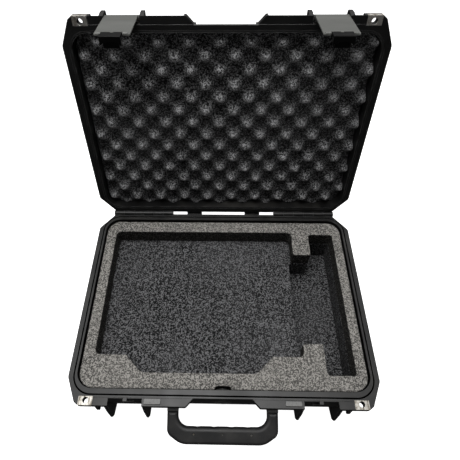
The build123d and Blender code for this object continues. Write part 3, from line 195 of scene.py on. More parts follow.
class EffectLibrary:
    """Builds each shared node group once and places it in materials."""

    def __init__(self) -> None:
        """Builds every group."""
        self.trees = {
            Effect.GRAIN: self.grain(),
            Effect.WEAR_AND_HIGHLIGHT: self.wear_and_highlight(),
            Effect.DUST: self.dust(),
            Effect.PORES: self.pores(),
            Effect.BRUSH: self.brush(),
        }

    def start(
        self, effect: Effect, inputs: dict[str, float], outputs: tuple[str, ...]
    ) -> tuple[Wiring, bpy.types.NodeOutputs, bpy.types.NodeInputs]:
        """Makes an empty group with float sockets.

        Args:
            effect: Which effect it is.
            inputs: Names and usual values of its inputs.
            outputs: Names of its outputs.

        Returns:
            The group's wiring, what is given to it and where its results go.
        """
        tree = bpy.data.node_groups.new(effect.value, "ShaderNodeTree")
        for name, value in inputs.items():
            socket = tree.interface.new_socket(name, in_out="INPUT", socket_type="NodeSocketFloat")
            socket.default_value = value
        for name in outputs:
            tree.interface.new_socket(name, in_out="OUTPUT", socket_type="NodeSocketFloat")
        source = tree.nodes.new("NodeGroupInput")
        target = tree.nodes.new("NodeGroupOutput")
        return Wiring(tree), source.outputs, target.inputs

    def place(self, wiring: Wiring, effect: Effect, **values: Given) -> bpy.types.NodeOutputs:
        """Places a group in a material.

        Args:
            wiring: The material's wiring.
            effect: Which group.
            **values: Values or outputs for its inputs.

        Returns:
            The group node's outputs.
        """
        node = wiring.tree.nodes.new("ShaderNodeGroup")
        node.node_tree = self.trees[effect]
        for name, value in values.items():
            wiring.feed(value, node.inputs[name])
        return node.outputs

    def grain(self) -> bpy.types.NodeTree:
        """The fine texture of a spark-eroded mould: a height and a broad mottle.

        Returns:
            The group's tree.
        """
        wiring, given, result = self.start(
            Effect.GRAIN, {"Scale": 1100.0, "Mottle": 14.0}, ("Height", "Mottle")
        )
        place = wiring.add("TexCoord").outputs["Object"]
        fine = wiring.noise(place, given["Scale"], 3.0, 0.6)
        pits = wiring.add("TexVoronoi", None, Vector=place, Scale=given["Scale"])
        height = wiring.math("MULTIPLY_ADD", pits.outputs["Distance"], 0.5, fine)
        wiring.feed(height, result["Height"])
        wiring.feed(wiring.noise(place, given["Mottle"], 4.0, 0.55), result["Mottle"])
        return wiring.tree

    def wear_and_highlight(self) -> bpy.types.NodeTree:
        """Where handling polishes or scuffs an edge, and where a painted highlight runs along it,
        broken up by noise.

        Returns:
            The group's tree.
        """
        wiring, given, result = self.start(
            Effect.WEAR_AND_HIGHLIGHT, {"Radius": 0.8 * MM, "Break": 60.0}, ("Mask",)
        )
        rounded = wiring.add("Bevel", {"samples": 4}, Radius=given["Radius"])
        flat = wiring.add("NewGeometry").outputs["Normal"]
        dot = wiring.add(
            "VectorMath", {"operation": "DOT_PRODUCT"}, i0=rounded.outputs[0], i1=flat
        )
        edge = wiring.span(dot.outputs["Value"], 0.995, 0.82)
        place = wiring.add("TexCoord").outputs["Object"]
        patch = wiring.span(wiring.noise(place, given["Break"], 5.0, 0.65), 0.36, 0.62)
        wiring.feed(wiring.math("MULTIPLY", edge, patch), result["Mask"])
        return wiring.tree

    def dust(self) -> bpy.types.NodeTree:
        """Specks and haze that lie on faces that look up.

        Returns:
            The group's tree.
        """
        wiring, given, result = self.start(
            Effect.DUST, {"Haze": 0.2, "Specks": 0.4}, ("Mask",)
        )
        coordinates = wiring.add("TexCoord").outputs
        up = wiring.add("SeparateXYZ", None, Vector=coordinates["Normal"]).outputs["Z"]
        facing = wiring.span(up, 0.1, 0.9)
        cloud = wiring.span(wiring.noise(coordinates["Object"], 22.0, 6.0, 0.6), 0.42, 0.75)
        speck = wiring.span(wiring.noise(coordinates["Object"], 1500.0, 1.0), 0.72, 0.78)
        haze = wiring.math("MULTIPLY", cloud, given["Haze"])
        both = wiring.math("MULTIPLY_ADD", speck, given["Specks"], haze)
        wiring.feed(wiring.math("MULTIPLY", both, facing), result["Mask"])
        return wiring.tree

    def pores(self) -> bpy.types.NodeTree:
        """Open cells of cut foam: a height, a light-and-dark speckle and a soft mottle.

        Returns:
            The group's tree.
        """
        wiring, given, result = self.start(
            Effect.PORES, {"Scale": 520.0}, ("Height", "Speckle", "Mottle")
        )
        place = wiring.add("TexCoord").outputs["Object"]
        cells = wiring.add(
            "TexVoronoi", {"feature": "SMOOTH_F1"}, Vector=place, Scale=given["Scale"],
            Smoothness=0.35,
        )
        coarse = wiring.noise(place, wiring.math("MULTIPLY", given["Scale"], 0.55), 3.0, 0.75)
        speckle = wiring.math("MULTIPLY_ADD", cells.outputs["Distance"], -0.55, coarse)
        wiring.feed(speckle, result["Speckle"])
        wiring.feed(wiring.math("MULTIPLY_ADD", coarse, 0.8, speckle), result["Height"])
        wiring.feed(wiring.noise(place, 9.0, 4.0, 0.6), result["Mottle"])
        return wiring.tree

    def brush(self) -> bpy.types.NodeTree:
        """Fine lines along X, as rolling or polishing leaves them.

        Returns:
            The group's tree.
        """
        wiring, given, result = self.start(
            Effect.BRUSH, {"Scale": 1.0, "Along": 12.0, "Across": 900.0}, ("Line",)
        )
        place = wiring.add("TexCoord").outputs["Object"]
        stretch = wiring.add(
            "CombineXYZ", None, X=given["Along"], Y=given["Across"], Z=given["Across"]
        )
        drawn = wiring.add(
            "VectorMath", {"operation": "MULTIPLY"}, i0=place, i1=stretch.outputs[0]
        )
        line = wiring.noise(drawn.outputs[0], given["Scale"], 3.0, 0.6)
        wiring.feed(line, result["Line"])
        return wiring.tree


# ---------------------------------------------------------------- finishes


def rgba(colour: Colour) -> tuple[float, float, float, float]:
    """Adds full alpha to a colour.

    Args:
        colour: A linear colour.

    Returns:
        The colour with its alpha.
    """
    return (*colour, 1.0)


@dataclass(frozen=True)
class Finish:
    """What every finish has.

    Attributes:
        name: The material's name.
        slot: The record's material slot.
    """

    name: str
    slot: str

    def begin(self) -> tuple[bpy.types.Material, Wiring, bpy.types.Node]:
        """Makes the material with a bare Principled shader.

        Returns:
            The material, its wiring and its shader.
        """
        material = bpy.data.materials.new(self.name)
        material.use_nodes = True
        shader = material.node_tree.nodes["Principled BSDF"]
        return material, Wiring(material.node_tree), shader

    def bump(
        self, wiring: Wiring, height: Given, depth: float, shader: bpy.types.Node,
        base: Given | None = None,
    ) -> None:
        """Feeds a height to the shader's normal.

        Args:
            wiring: The material's wiring.
            height: The height output, from about 0 to 1.
            depth: How deep that is, in metres.
            shader: The Principled shader.
            base: A normal to start from.
        """
        inputs = {"Height": height, "Distance": depth, "Strength": 1.0}
        if base is not None:
            inputs["Normal"] = base
        node = wiring.add("Bump", None, **inputs)
        wiring.feed(node.outputs["Normal"], shader.inputs["Normal"])

    def build(self, effects: EffectLibrary) -> bpy.types.Material:
        """Makes the finished material.

        Args:
            effects: The shared node groups.

        Returns:
            The material.
        """
        raise NotImplementedError


@dataclass(frozen=True)
class MouldedPlastic(Finish):
    """Injection-moulded plastic or rubber with a fine texture, scuffs and a painted highlight on
    its edges, and dust.

    Attributes:
        colour: Its own colour.
        worn_and_lit: Colour of the scuffs along edges, which also paints a highlight along them,
            and of the painted highlight on the raised front parts.
        shine: Lowest and highest roughness.
        grain: Cells in a metre of the mould texture.
        depth: Depth of that texture.
        wear_and_highlight: How strongly the edges' scuffs and painted highlight show.
        haze: How much dust haze shows.
        specular: Specular level.
        rubbed_and_highlit: Z above which its front part gets a painted highlight.
        groove: Lowest and highest Z of a groove's floor, which gets painted shade: black, with no
            gloss.
    """

    colour: Colour = (0.01, 0.01, 0.01)
    worn_and_lit: Colour = (0.06, 0.06, 0.06)
    shine: tuple[float, float] = (0.36, 0.5)
    grain: float = 1100.0
    depth: float = 0.05 * MM
    wear_and_highlight: float = 0.5
    haze: float = 0.2
    specular: float = 0.5
    rubbed_and_highlit: float | None = None
    groove: tuple[float, float] | None = None

    def in_groove(self, wiring: Wiring) -> bpy.types.NodeSocket:
        """Finds the groove's floor: faces that look up between its two heights.

        Args:
            wiring: The material's wiring.

        Returns:
            A mask's output.
        """
        coordinates = wiring.add("TexCoord").outputs
        z = wiring.add("SeparateXYZ", None, Vector=coordinates["Object"]).outputs["Z"]
        up = wiring.add("SeparateXYZ", None, Vector=coordinates["Normal"]).outputs["Z"]
        low, high = self.groove
        above = wiring.math("GREATER_THAN", z, low)
        below = wiring.math("LESS_THAN", z, high)
        facing = wiring.math("GREATER_THAN", up, 0.9)
        return wiring.math("MULTIPLY", wiring.math("MULTIPLY", above, below), facing)

    def paint_highlight(self, wiring: Wiring, colour: Given) -> Given:
        """Paints a highlight on the raised front parts.

        Args:
            wiring: The material's wiring.
            colour: The colour so far.

        Returns:
            The colour with the painted highlight.
        """
        if self.rubbed_and_highlit is None:
            return colour
        place = wiring.add("TexCoord").outputs["Object"]
        axes = wiring.add("SeparateXYZ", None, Vector=place).outputs
        high = wiring.span(axes["Z"], self.rubbed_and_highlit, self.rubbed_and_highlit + 0.3 * MM)
        front = wiring.span(axes["Y"], 0.0, -0.1)
        patch = wiring.span(wiring.noise(place, 300.0, 3.0, 0.6), 0.2, 0.6, 0.5, 1.0)
        share = wiring.math("MULTIPLY", wiring.math("MULTIPLY", high, front), patch)
        return wiring.mix(share, colour, rgba(self.worn_and_lit))

    def build(self, effects: EffectLibrary) -> bpy.types.Material:
        """Makes the finished material.

        Args:
            effects: The shared node groups.

        Returns:
            The material.
        """
        material, wiring, shader = self.begin()
        grain = effects.place(wiring, Effect.GRAIN, Scale=self.grain)
        worn_and_lit = effects.place(wiring, Effect.WEAR_AND_HIGHLIGHT)["Mask"]
        dust = effects.place(wiring, Effect.DUST, Haze=self.haze, Specks=2 * self.haze)["Mask"]
        deep = tuple(0.7 * c for c in self.colour)
        body = wiring.mix(wiring.span(grain["Mottle"], 0.3, 0.7), rgba(deep), rgba(self.colour))
        # Edges lighter: scuffs together with a painted highlight along them.
        scuffed_and_highlit = wiring.mix(wiring.math("MULTIPLY", worn_and_lit, self.wear_and_highlight), body, rgba(self.worn_and_lit))
        dusty = wiring.mix(dust, scuffed_and_highlit, rgba((0.09, 0.085, 0.075)))
        # Painted highlight on the raised front parts.
        shown = self.paint_highlight(wiring, dusty)
        shader.inputs["Specular IOR Level"].default_value = self.specular
        # Painted shade: the groove's floor turns black and loses its gloss.
        if self.groove is not None:
            groove_shade = self.in_groove(wiring)
            shown = wiring.mix(groove_shade, shown, rgba((0.0, 0.0, 0.0)))
            gloss = wiring.math("MULTIPLY_ADD", groove_shade, -self.specular, self.specular)
            wiring.feed(gloss, shader.inputs["Specular IOR Level"])
        wiring.feed(shown, shader.inputs["Base Color"])
        rough = wiring.span(grain["Mottle"], 0.25, 0.75, *self.shine)
        rough = wiring.math("MULTIPLY_ADD", dust, 0.3, rough)
        wiring.feed(rough, shader.inputs["Roughness"])
        soft = wiring.add("Bevel", {"samples": 4}, Radius=0.4 * MM)
        self.bump(wiring, grain["Height"], self.depth, shader, soft.outputs[0])
        return material


@dataclass(frozen=True)
class CutFoam(Finish):
    """Open-cell foam, with painted shade on its deep parts and upright faces.

    Attributes:
        light: Colour of its cell walls.
        dark: Colour of its open cells.
        scale: Cells in a metre.
        depth: Depth of its cells.
        fuzz: How much its loose fibres catch the light.
        contrast: Lowest and highest speckle that still shows.
        shade: Direction in which its painted shade deepens.
        reach: Where along that direction the painted shade starts and ends.
        cut: How much painted shade darkens its upright cut faces.
        gloom: What is left of its colour where it is darkest.
    """

    light: Colour = (0.2, 0.19, 0.18)
    dark: Colour = (0.05, 0.05, 0.05)
    scale: float = 520.0
    depth: float = 1.0 * MM
    fuzz: float = 0.08
    contrast: tuple[float, float] = (0.12, 0.38)
    shade: tuple[float, float, float] = (0.0, 0.0, 1.0)
    reach: tuple[float, float] | None = None
    cut: float = 0.0
    gloom: Colour = (0.22, 0.22, 0.22)

    def shadow(self, wiring: Wiring) -> Given:
        """Works out how far painted shade darkens the deep parts and the cut faces.

        Args:
            wiring: The material's wiring.

        Returns:
            The share, from 0 to 1.
        """
        coordinates = wiring.add("TexCoord").outputs
        share = 0.0
        if self.reach is not None:
            along = wiring.add(
                "VectorMath", {"operation": "DOT_PRODUCT"}, i0=coordinates["Object"],
                i1=self.shade,
            )
            share = wiring.span(along.outputs["Value"], *self.reach, 0.0, 0.93)
        if self.cut:
            up = wiring.add("SeparateXYZ", None, Vector=coordinates["Normal"]).outputs["Z"]
            upright = wiring.span(wiring.math("ABSOLUTE", up), 0.8, 0.4, 0.0, self.cut)
            share = wiring.math("MAXIMUM", share, upright)
        return share

    def build(self, effects: EffectLibrary) -> bpy.types.Material:
        """Makes the finished material.

        Args:
            effects: The shared node groups.

        Returns:
            The material.
        """
        material, wiring, shader = self.begin()
        pores = effects.place(wiring, Effect.PORES, Scale=self.scale)
        speckle = wiring.span(pores["Speckle"], *self.contrast)
        cells = wiring.mix(speckle, rgba(self.dark), rgba(self.light))
        faded = tuple(0.72 * c for c in self.light)
        tone = wiring.mix(
            wiring.span(pores["Mottle"], 0.35, 0.7, 0.0, 0.2), cells, rgba(faded)
        )
        # Painted shade: deep parts and upright faces darken toward gloom, keep faint light specks
        # and lose their sheen.
        shadow = self.shadow(wiring)
        specks = wiring.span(pores["Speckle"], self.contrast[1] - 0.06, self.contrast[1] + 0.1)
        glint = wiring.mix(specks, rgba((0.0, 0.0, 0.0)), rgba(self.light))
        deep = wiring.mix(0.75, tone, glint)
        dimmed = wiring.mix(1.0, deep, rgba(self.gloom), "MULTIPLY")
        wiring.feed(wiring.mix(shadow, tone, dimmed), shader.inputs["Base Color"])
        rough = wiring.span(pores["Mottle"], 0.3, 0.7, 0.9, 1.0)
        wiring.feed(rough, shader.inputs["Roughness"])
        shader.inputs["Specular IOR Level"].default_value = 0.05
        fuzz = wiring.math("MULTIPLY_ADD", shadow, -self.fuzz, self.fuzz)
        wiring.feed(fuzz, shader.inputs["Sheen Weight"])
        shader.inputs["Sheen Roughness"].default_value = 0.6
        self.bump(wiring, pores["Height"], self.depth, shader)
        return material


@dataclass(frozen=True)
class BareSteel(Finish):
    """Rolled or drawn steel.

    Attributes:
        colour: Its reflection's colour.
        tarnish: Colour of its duller patches.
        shine: Lowest and highest roughness.
        lines: Depth of its drawn lines.
        stretch: How the lines' noise is scaled along X and across it.
    """

    colour: Colour = (0.7, 0.68, 0.64)
    tarnish: Colour = (0.42, 0.36, 0.27)
    shine: tuple[float, float] = (0.18, 0.4)
    lines: float = 0.03 * MM
    stretch: tuple[float, float] = (12.0, 900.0)

    def build(self, effects: EffectLibrary) -> bpy.types.Material:
        """Makes the finished material.

        Args:
            effects: The shared node groups.

        Returns:
            The material.
        """
        material, wiring, shader = self.begin()
        along, across = self.stretch
        line = effects.place(wiring, Effect.BRUSH, Along=along, Across=across)["Line"]
        mottle = effects.place(wiring, Effect.GRAIN, Mottle=160.0)["Mottle"]
        stain = wiring.span(wiring.math("ADD", mottle, line), 0.9, 1.25, 0.0, 0.9)
        wiring.feed(
            wiring.mix(stain, rgba(self.colour), rgba(self.tarnish)), shader.inputs["Base Color"]
        )
        wiring.feed(wiring.span(line, 0.2, 0.8, *self.shine), shader.inputs["Roughness"])
        shader.inputs["Metallic"].default_value = 1.0
        soft = wiring.add("Bevel", {"samples": 4}, Radius=0.25 * MM)
        self.bump(wiring, line, self.lines, shader, soft.outputs[0])
        return material


@dataclass(frozen=True)
class SatinPlate(Finish):
    """Grey moulded plastic with faint flow streaks, as on the latches.

    Attributes:
        colour: Its own colour.
        streak: Colour of the streaks.
        worn_and_lit: Colour of the scuffs along its edges, which also paints a highlight along
            them.
        shine: Lowest and highest roughness.
    """

    colour: Colour = (0.085, 0.087, 0.08)
    streak: Colour = (0.115, 0.117, 0.109)
    worn_and_lit: Colour = (0.3, 0.3, 0.3)
    shine: tuple[float, float] = (0.3, 0.5)

    def build(self, effects: EffectLibrary) -> bpy.types.Material:
        """Makes the finished material.

        Args:
            effects: The shared node groups.

        Returns:
            The material.
        """
        material, wiring, shader = self.begin()
        line = effects.place(wiring, Effect.BRUSH, Along=10.0, Across=130.0)["Line"]
        grain = effects.place(wiring, Effect.GRAIN, Scale=1500.0)
        worn_and_lit = effects.place(wiring, Effect.WEAR_AND_HIGHLIGHT, Radius=0.6 * MM)["Mask"]
        body = wiring.mix(wiring.span(line, 0.35, 0.7), rgba(self.colour), rgba(self.streak))
        # Edges lighter: scuffs together with a painted highlight along them.
        rubbed_and_highlit = wiring.mix(wiring.math("MULTIPLY", worn_and_lit, 0.6), body, rgba(self.worn_and_lit))
        wiring.feed(rubbed_and_highlit, shader.inputs["Base Color"])
        wiring.feed(wiring.span(line, 0.3, 0.75, *self.shine), shader.inputs["Roughness"])
        soft = wiring.add("Bevel", {"samples": 4}, Radius=0.5 * MM)
        self.bump(wiring, grain["Height"], 0.03 * MM, shader, soft.outputs[0])
        return material


# Light edge colour and a strong edge mask: scuffs plus painted highlight lines along the rim's
# edges.
LID_SHELL = MouldedPlastic(
    "black_copolymer", "shell_polymer", colour=(0.004, 0.004, 0.004), worn_and_lit=(0.12, 0.12, 0.12),
    wear_and_highlight=0.8,
)
# Painted highlight on the raised front bars, painted shade on the seal groove's floor.
BASE_SHELL = replace(
    LID_SHELL, name="black_copolymer_painted_highlight", worn_and_lit=(0.14, 0.14, 0.135), rubbed_and_highlit=105.6 * MM,
    groove=(102.3 * MM, 102.7 * MM),
)
SEAL = MouldedPlastic(
    "seal_rubber", "seal_rubber", colour=(0.008, 0.008, 0.008), worn_and_lit=(0.02, 0.02, 0.02),
    shine=(0.5, 0.65), grain=1800.0, depth=0.02 * MM, wear_and_highlight=0.1, haze=0.1, specular=0.3,
)
# The cut share paints shade on each foam's upright faces.
GREY_FOAM = CutFoam(
    "grey_cut_foam", "foam_insert", light=(0.37, 0.355, 0.33), dark=(0.06, 0.058, 0.054),
    scale=500.0, cut=0.92,
)
CHARCOAL_FOAM = CutFoam(
    "charcoal_foam", "foam_charcoal", light=(0.16, 0.16, 0.165), dark=(0.002, 0.002, 0.002),
    scale=430.0, contrast=(0.17, 0.36), cut=0.6,
)
PEAK_FOAM = CutFoam(
    "peaked_foam", "foam_peaks", light=(0.37, 0.37, 0.375), dark=(0.012, 0.012, 0.013),
    scale=460.0, depth=1.2 * MM, fuzz=0.15,
)
LATCH_PLATE = SatinPlate("latch_grey", "latch_grey")
TRIGGER = MouldedPlastic(
    "trigger_black", "trigger_black", colour=(0.002, 0.002, 0.002), worn_and_lit=(0.02, 0.02, 0.02),
    shine=(0.3, 0.4), grain=1500.0, depth=0.02 * MM, wear_and_highlight=0.6, haze=0.05, specular=0.1,
)
PADLOCK_PLATE = BareSteel(
    "plate_steel", "plate_steel", colour=(0.85, 0.82, 0.77), tarnish=(0.25, 0.19, 0.12),
    shine=(0.35, 0.6), stretch=(420.0, 30.0),
)
# A darker copy of the same steel: painted shade that dims the base's padlock plates.
SHADED_PLATE = replace(
    PADLOCK_PLATE, name="plate_steel_shaded", colour=(0.5, 0.48, 0.44), tarnish=(0.12, 0.1, 0.07),
)
SCREW = BareSteel("screw_steel", "pin_steel", colour=(0.35, 0.35, 0.34))
PIN = BareSteel("pin_steel", "pin_steel", colour=(0.5, 0.5, 0.5), shine=(0.25, 0.45))
DARK_PIN = BareSteel(
    "pin_blackened", "pin_steel", colour=(0.03, 0.03, 0.03), tarnish=(0.05, 0.045, 0.04),
    shine=(0.4, 0.6),
)
GRIP_RUBBER = MouldedPlastic(
    "grip_rubber", "grip_rubber", colour=(0.011, 0.011, 0.0115), worn_and_lit=(0.03, 0.03, 0.03),
    shine=(0.45, 0.6), grain=800.0, depth=0.06 * MM, wear_and_highlight=0.4, haze=0.25,
)
HANDLE_FRAME = MouldedPlastic("handle_core", "handle_core", colour=(0.06, 0.06, 0.058))
VALVE = MouldedPlastic(
    "valve_polymer", "valve_polymer", colour=(0.03, 0.03, 0.029), shine=(0.28, 0.42),
    grain=1600.0, depth=0.02 * MM,
)
MEMBRANE = MouldedPlastic(
    "vent_membrane", "membrane", colour=(0.7, 0.7, 0.68), worn_and_lit=(0.6, 0.6, 0.6),
    shine=(0.6, 0.7), haze=0.1,
)


class Wardrobe:
    """Builds each finish once and puts it on objects."""

    def __init__(self) -> None:
        """Starts with the shared effects and no materials."""
        self.effects = EffectLibrary()
        self.made: dict[str, bpy.types.Material] = {}

    def dress(self, piece: bpy.types.Object, finish: Finish) -> None:
        """Puts a finish on every face of a piece.

        Args:
            piece: A mesh object.
            finish: What it is made of.
        """
        if finish.name not in self.made:
            self.made[finish.name] = finish.build(self.effects)
        piece.data.materials.clear()
        piece.data.materials.append(self.made[finish.name])

    def dress_nodes(self, names: tuple[str, ...], finish: Finish) -> None:
        """Puts a finish on solids of the frame, and logs each.

        Args:
            names: The solids' nodes.
            finish: What they are made of.
        """
        for name in names:
            self.dress(FRAME["nodes"][name], finish)
            LOG.info("%s: %s", name, finish.name)


# ---------------------------------------------------------------- mesh tools


@dataclass(frozen=True)
class LidSwing:
    """The turn that takes the lid from shut to where it stands.

    Attributes:
        pivot: A point of the hinge's axis.
        angle: How far it is open, in radians.
    """

    pivot: Vector
    angle: float

    @classmethod
    def of_frame(cls) -> "LidSwing":
        """Reads the lid's hinge from the frame.

        Returns:
            The swing.
        """
        hinge = next(j for j in FRAME["joints"] if j["name"] == "lid_hinge")
        return cls(Vector(hinge["pos_m"]), math.radians(hinge["range_deg"][1]))

    def matrix(self) -> Matrix:
        """Takes the shut lid's place to the open lid's.

        Returns:
            The turn as a matrix.
        """
        turn = Matrix.Rotation(-self.angle, 4, "X")
        return Matrix.Translation(self.pivot) @ turn @ Matrix.Translation(-self.pivot)


def mesh_piece(
    name: str, points: Iterable, faces: Iterable, smooth: bool = True
) -> bpy.types.Object:
    """Makes an object from points and faces.

    Args:
        name: The piece's name.
        points: Corner places, in metres.
        faces: Corner numbers of each face.
        smooth: Whether it shades as one curved surface.

    Returns:
        The new object, linked to the scene.
    """
    mesh = bpy.data.meshes.new(name)
    mesh.from_pydata([tuple(p) for p in points], [], [tuple(f) for f in faces])
    mesh.validate()
    if smooth:
        mesh.shade_smooth()
    piece = bpy.data.objects.new(name, mesh)
    bpy.context.scene.collection.objects.link(piece)
    return piece


def applied(piece: bpy.types.Object) -> None:
    """Replaces a piece's mesh by what its modifiers make of it.

    Args:
        piece: The object with modifiers.
    """
    graph = bpy.context.evaluated_depsgraph_get()
    mesh = bpy.data.meshes.new_from_object(piece.evaluated_get(graph))
    piece.modifiers.clear()
    piece.data = mesh


def rounded_outline(
    half: float, front: float, back: float, radius: float, steps: int
) -> tuple[np.ndarray, np.ndarray]:
    """Points of a rounded rectangle, anticlockwise, with their outward directions.

    Args:
        half: Half its width.
        front: Y of its front edge.
        back: Y of its back edge.
        radius: Of its corners.
        steps: Spans in each corner.

    Returns:
        Two arrays, places and directions.
    """
    corners = ((1, back), (-1, back), (-1, front), (1, front))
    places, outward = [], []
    for quarter, (side, y) in enumerate(corners):
        centre = np.array([side * (half - radius), y - math.copysign(radius, y)])
        for step in range(steps + 1):
            angle = (quarter + step / steps) * math.pi / 2
            direction = np.array([math.cos(angle), math.sin(angle)])
            places.append(centre + radius * direction)
            outward.append(direction)
    return np.array(places), np.array(outward)


# ---------------------------------------------------------------- foam


@dataclass
class FoamBlock:
    """A sheet of the base's foam, recut with the slightly ragged faces of real foam.

    Attributes:
        node: The solid that it stands for.
        finish: Its material.
        voxel: Size of its facets.
        ragged: How deep its cut faces waver.
        broad: Waves in a metre of the slow waver.
        fine: Waves in a metre of the quick one.
    """

    node: str
    finish: CutFoam
    voxel: float = 2.0 * MM
    ragged: float = 0.7 * MM
    broad: float = 90.0
    fine: float = 420.0

    def build(self, wardrobe: Wardrobe) -> bpy.types.Object:
        """Makes the block in the solid's place.

        Args:
            wardrobe: Where finishes come from.

        Returns:
            The block.
        """
        source = FRAME["nodes"][self.node]
        piece = bpy.data.objects.new("cut_" + self.node, source.data.copy())
        bpy.context.scene.collection.objects.link(piece)
        weld = piece.modifiers.new("weld", "WELD")
        weld.merge_threshold = 0.01 * MM
        remesh = piece.modifiers.new("facets", "REMESH")
        remesh.mode = "VOXEL"
        remesh.voxel_size = self.voxel
        applied(piece)
        self.waver(piece)
        piece.data.shade_smooth()
        wardrobe.dress(piece, self.finish)
        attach(piece, "base")
        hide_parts(self.node)
        LOG.info("%s: %d faces", piece.name, len(piece.data.polygons))
        return piece

    def waver(self, piece: bpy.types.Object) -> None:
        """Moves its surface in by an uneven amount, as a hot wire or blade leaves it.

        Args:
            piece: The block.
        """
        mesh = piece.data
        places = np.empty(len(mesh.vertices) * 3)
        mesh.vertices.foreach_get("co", places)
        normals = np.empty(len(mesh.vertices) * 3, np.float32)
        mesh.vertex_normals.foreach_get("vector", normals)
        places, normals = places.reshape(-1, 3), normals.reshape(-1, 3)
        broad = np.array([noise.noise(p) for p in places * self.broad])
        fine = np.array([noise.noise(p) for p in places * self.fine])
        share = np.clip(0.5 + 0.3 * broad + 0.45 * fine, 0.05, 1.0)
        places -= normals * (self.ragged * share)[:, None]
        mesh.vertices.foreach_set("co", places.ravel())
        mesh.update()


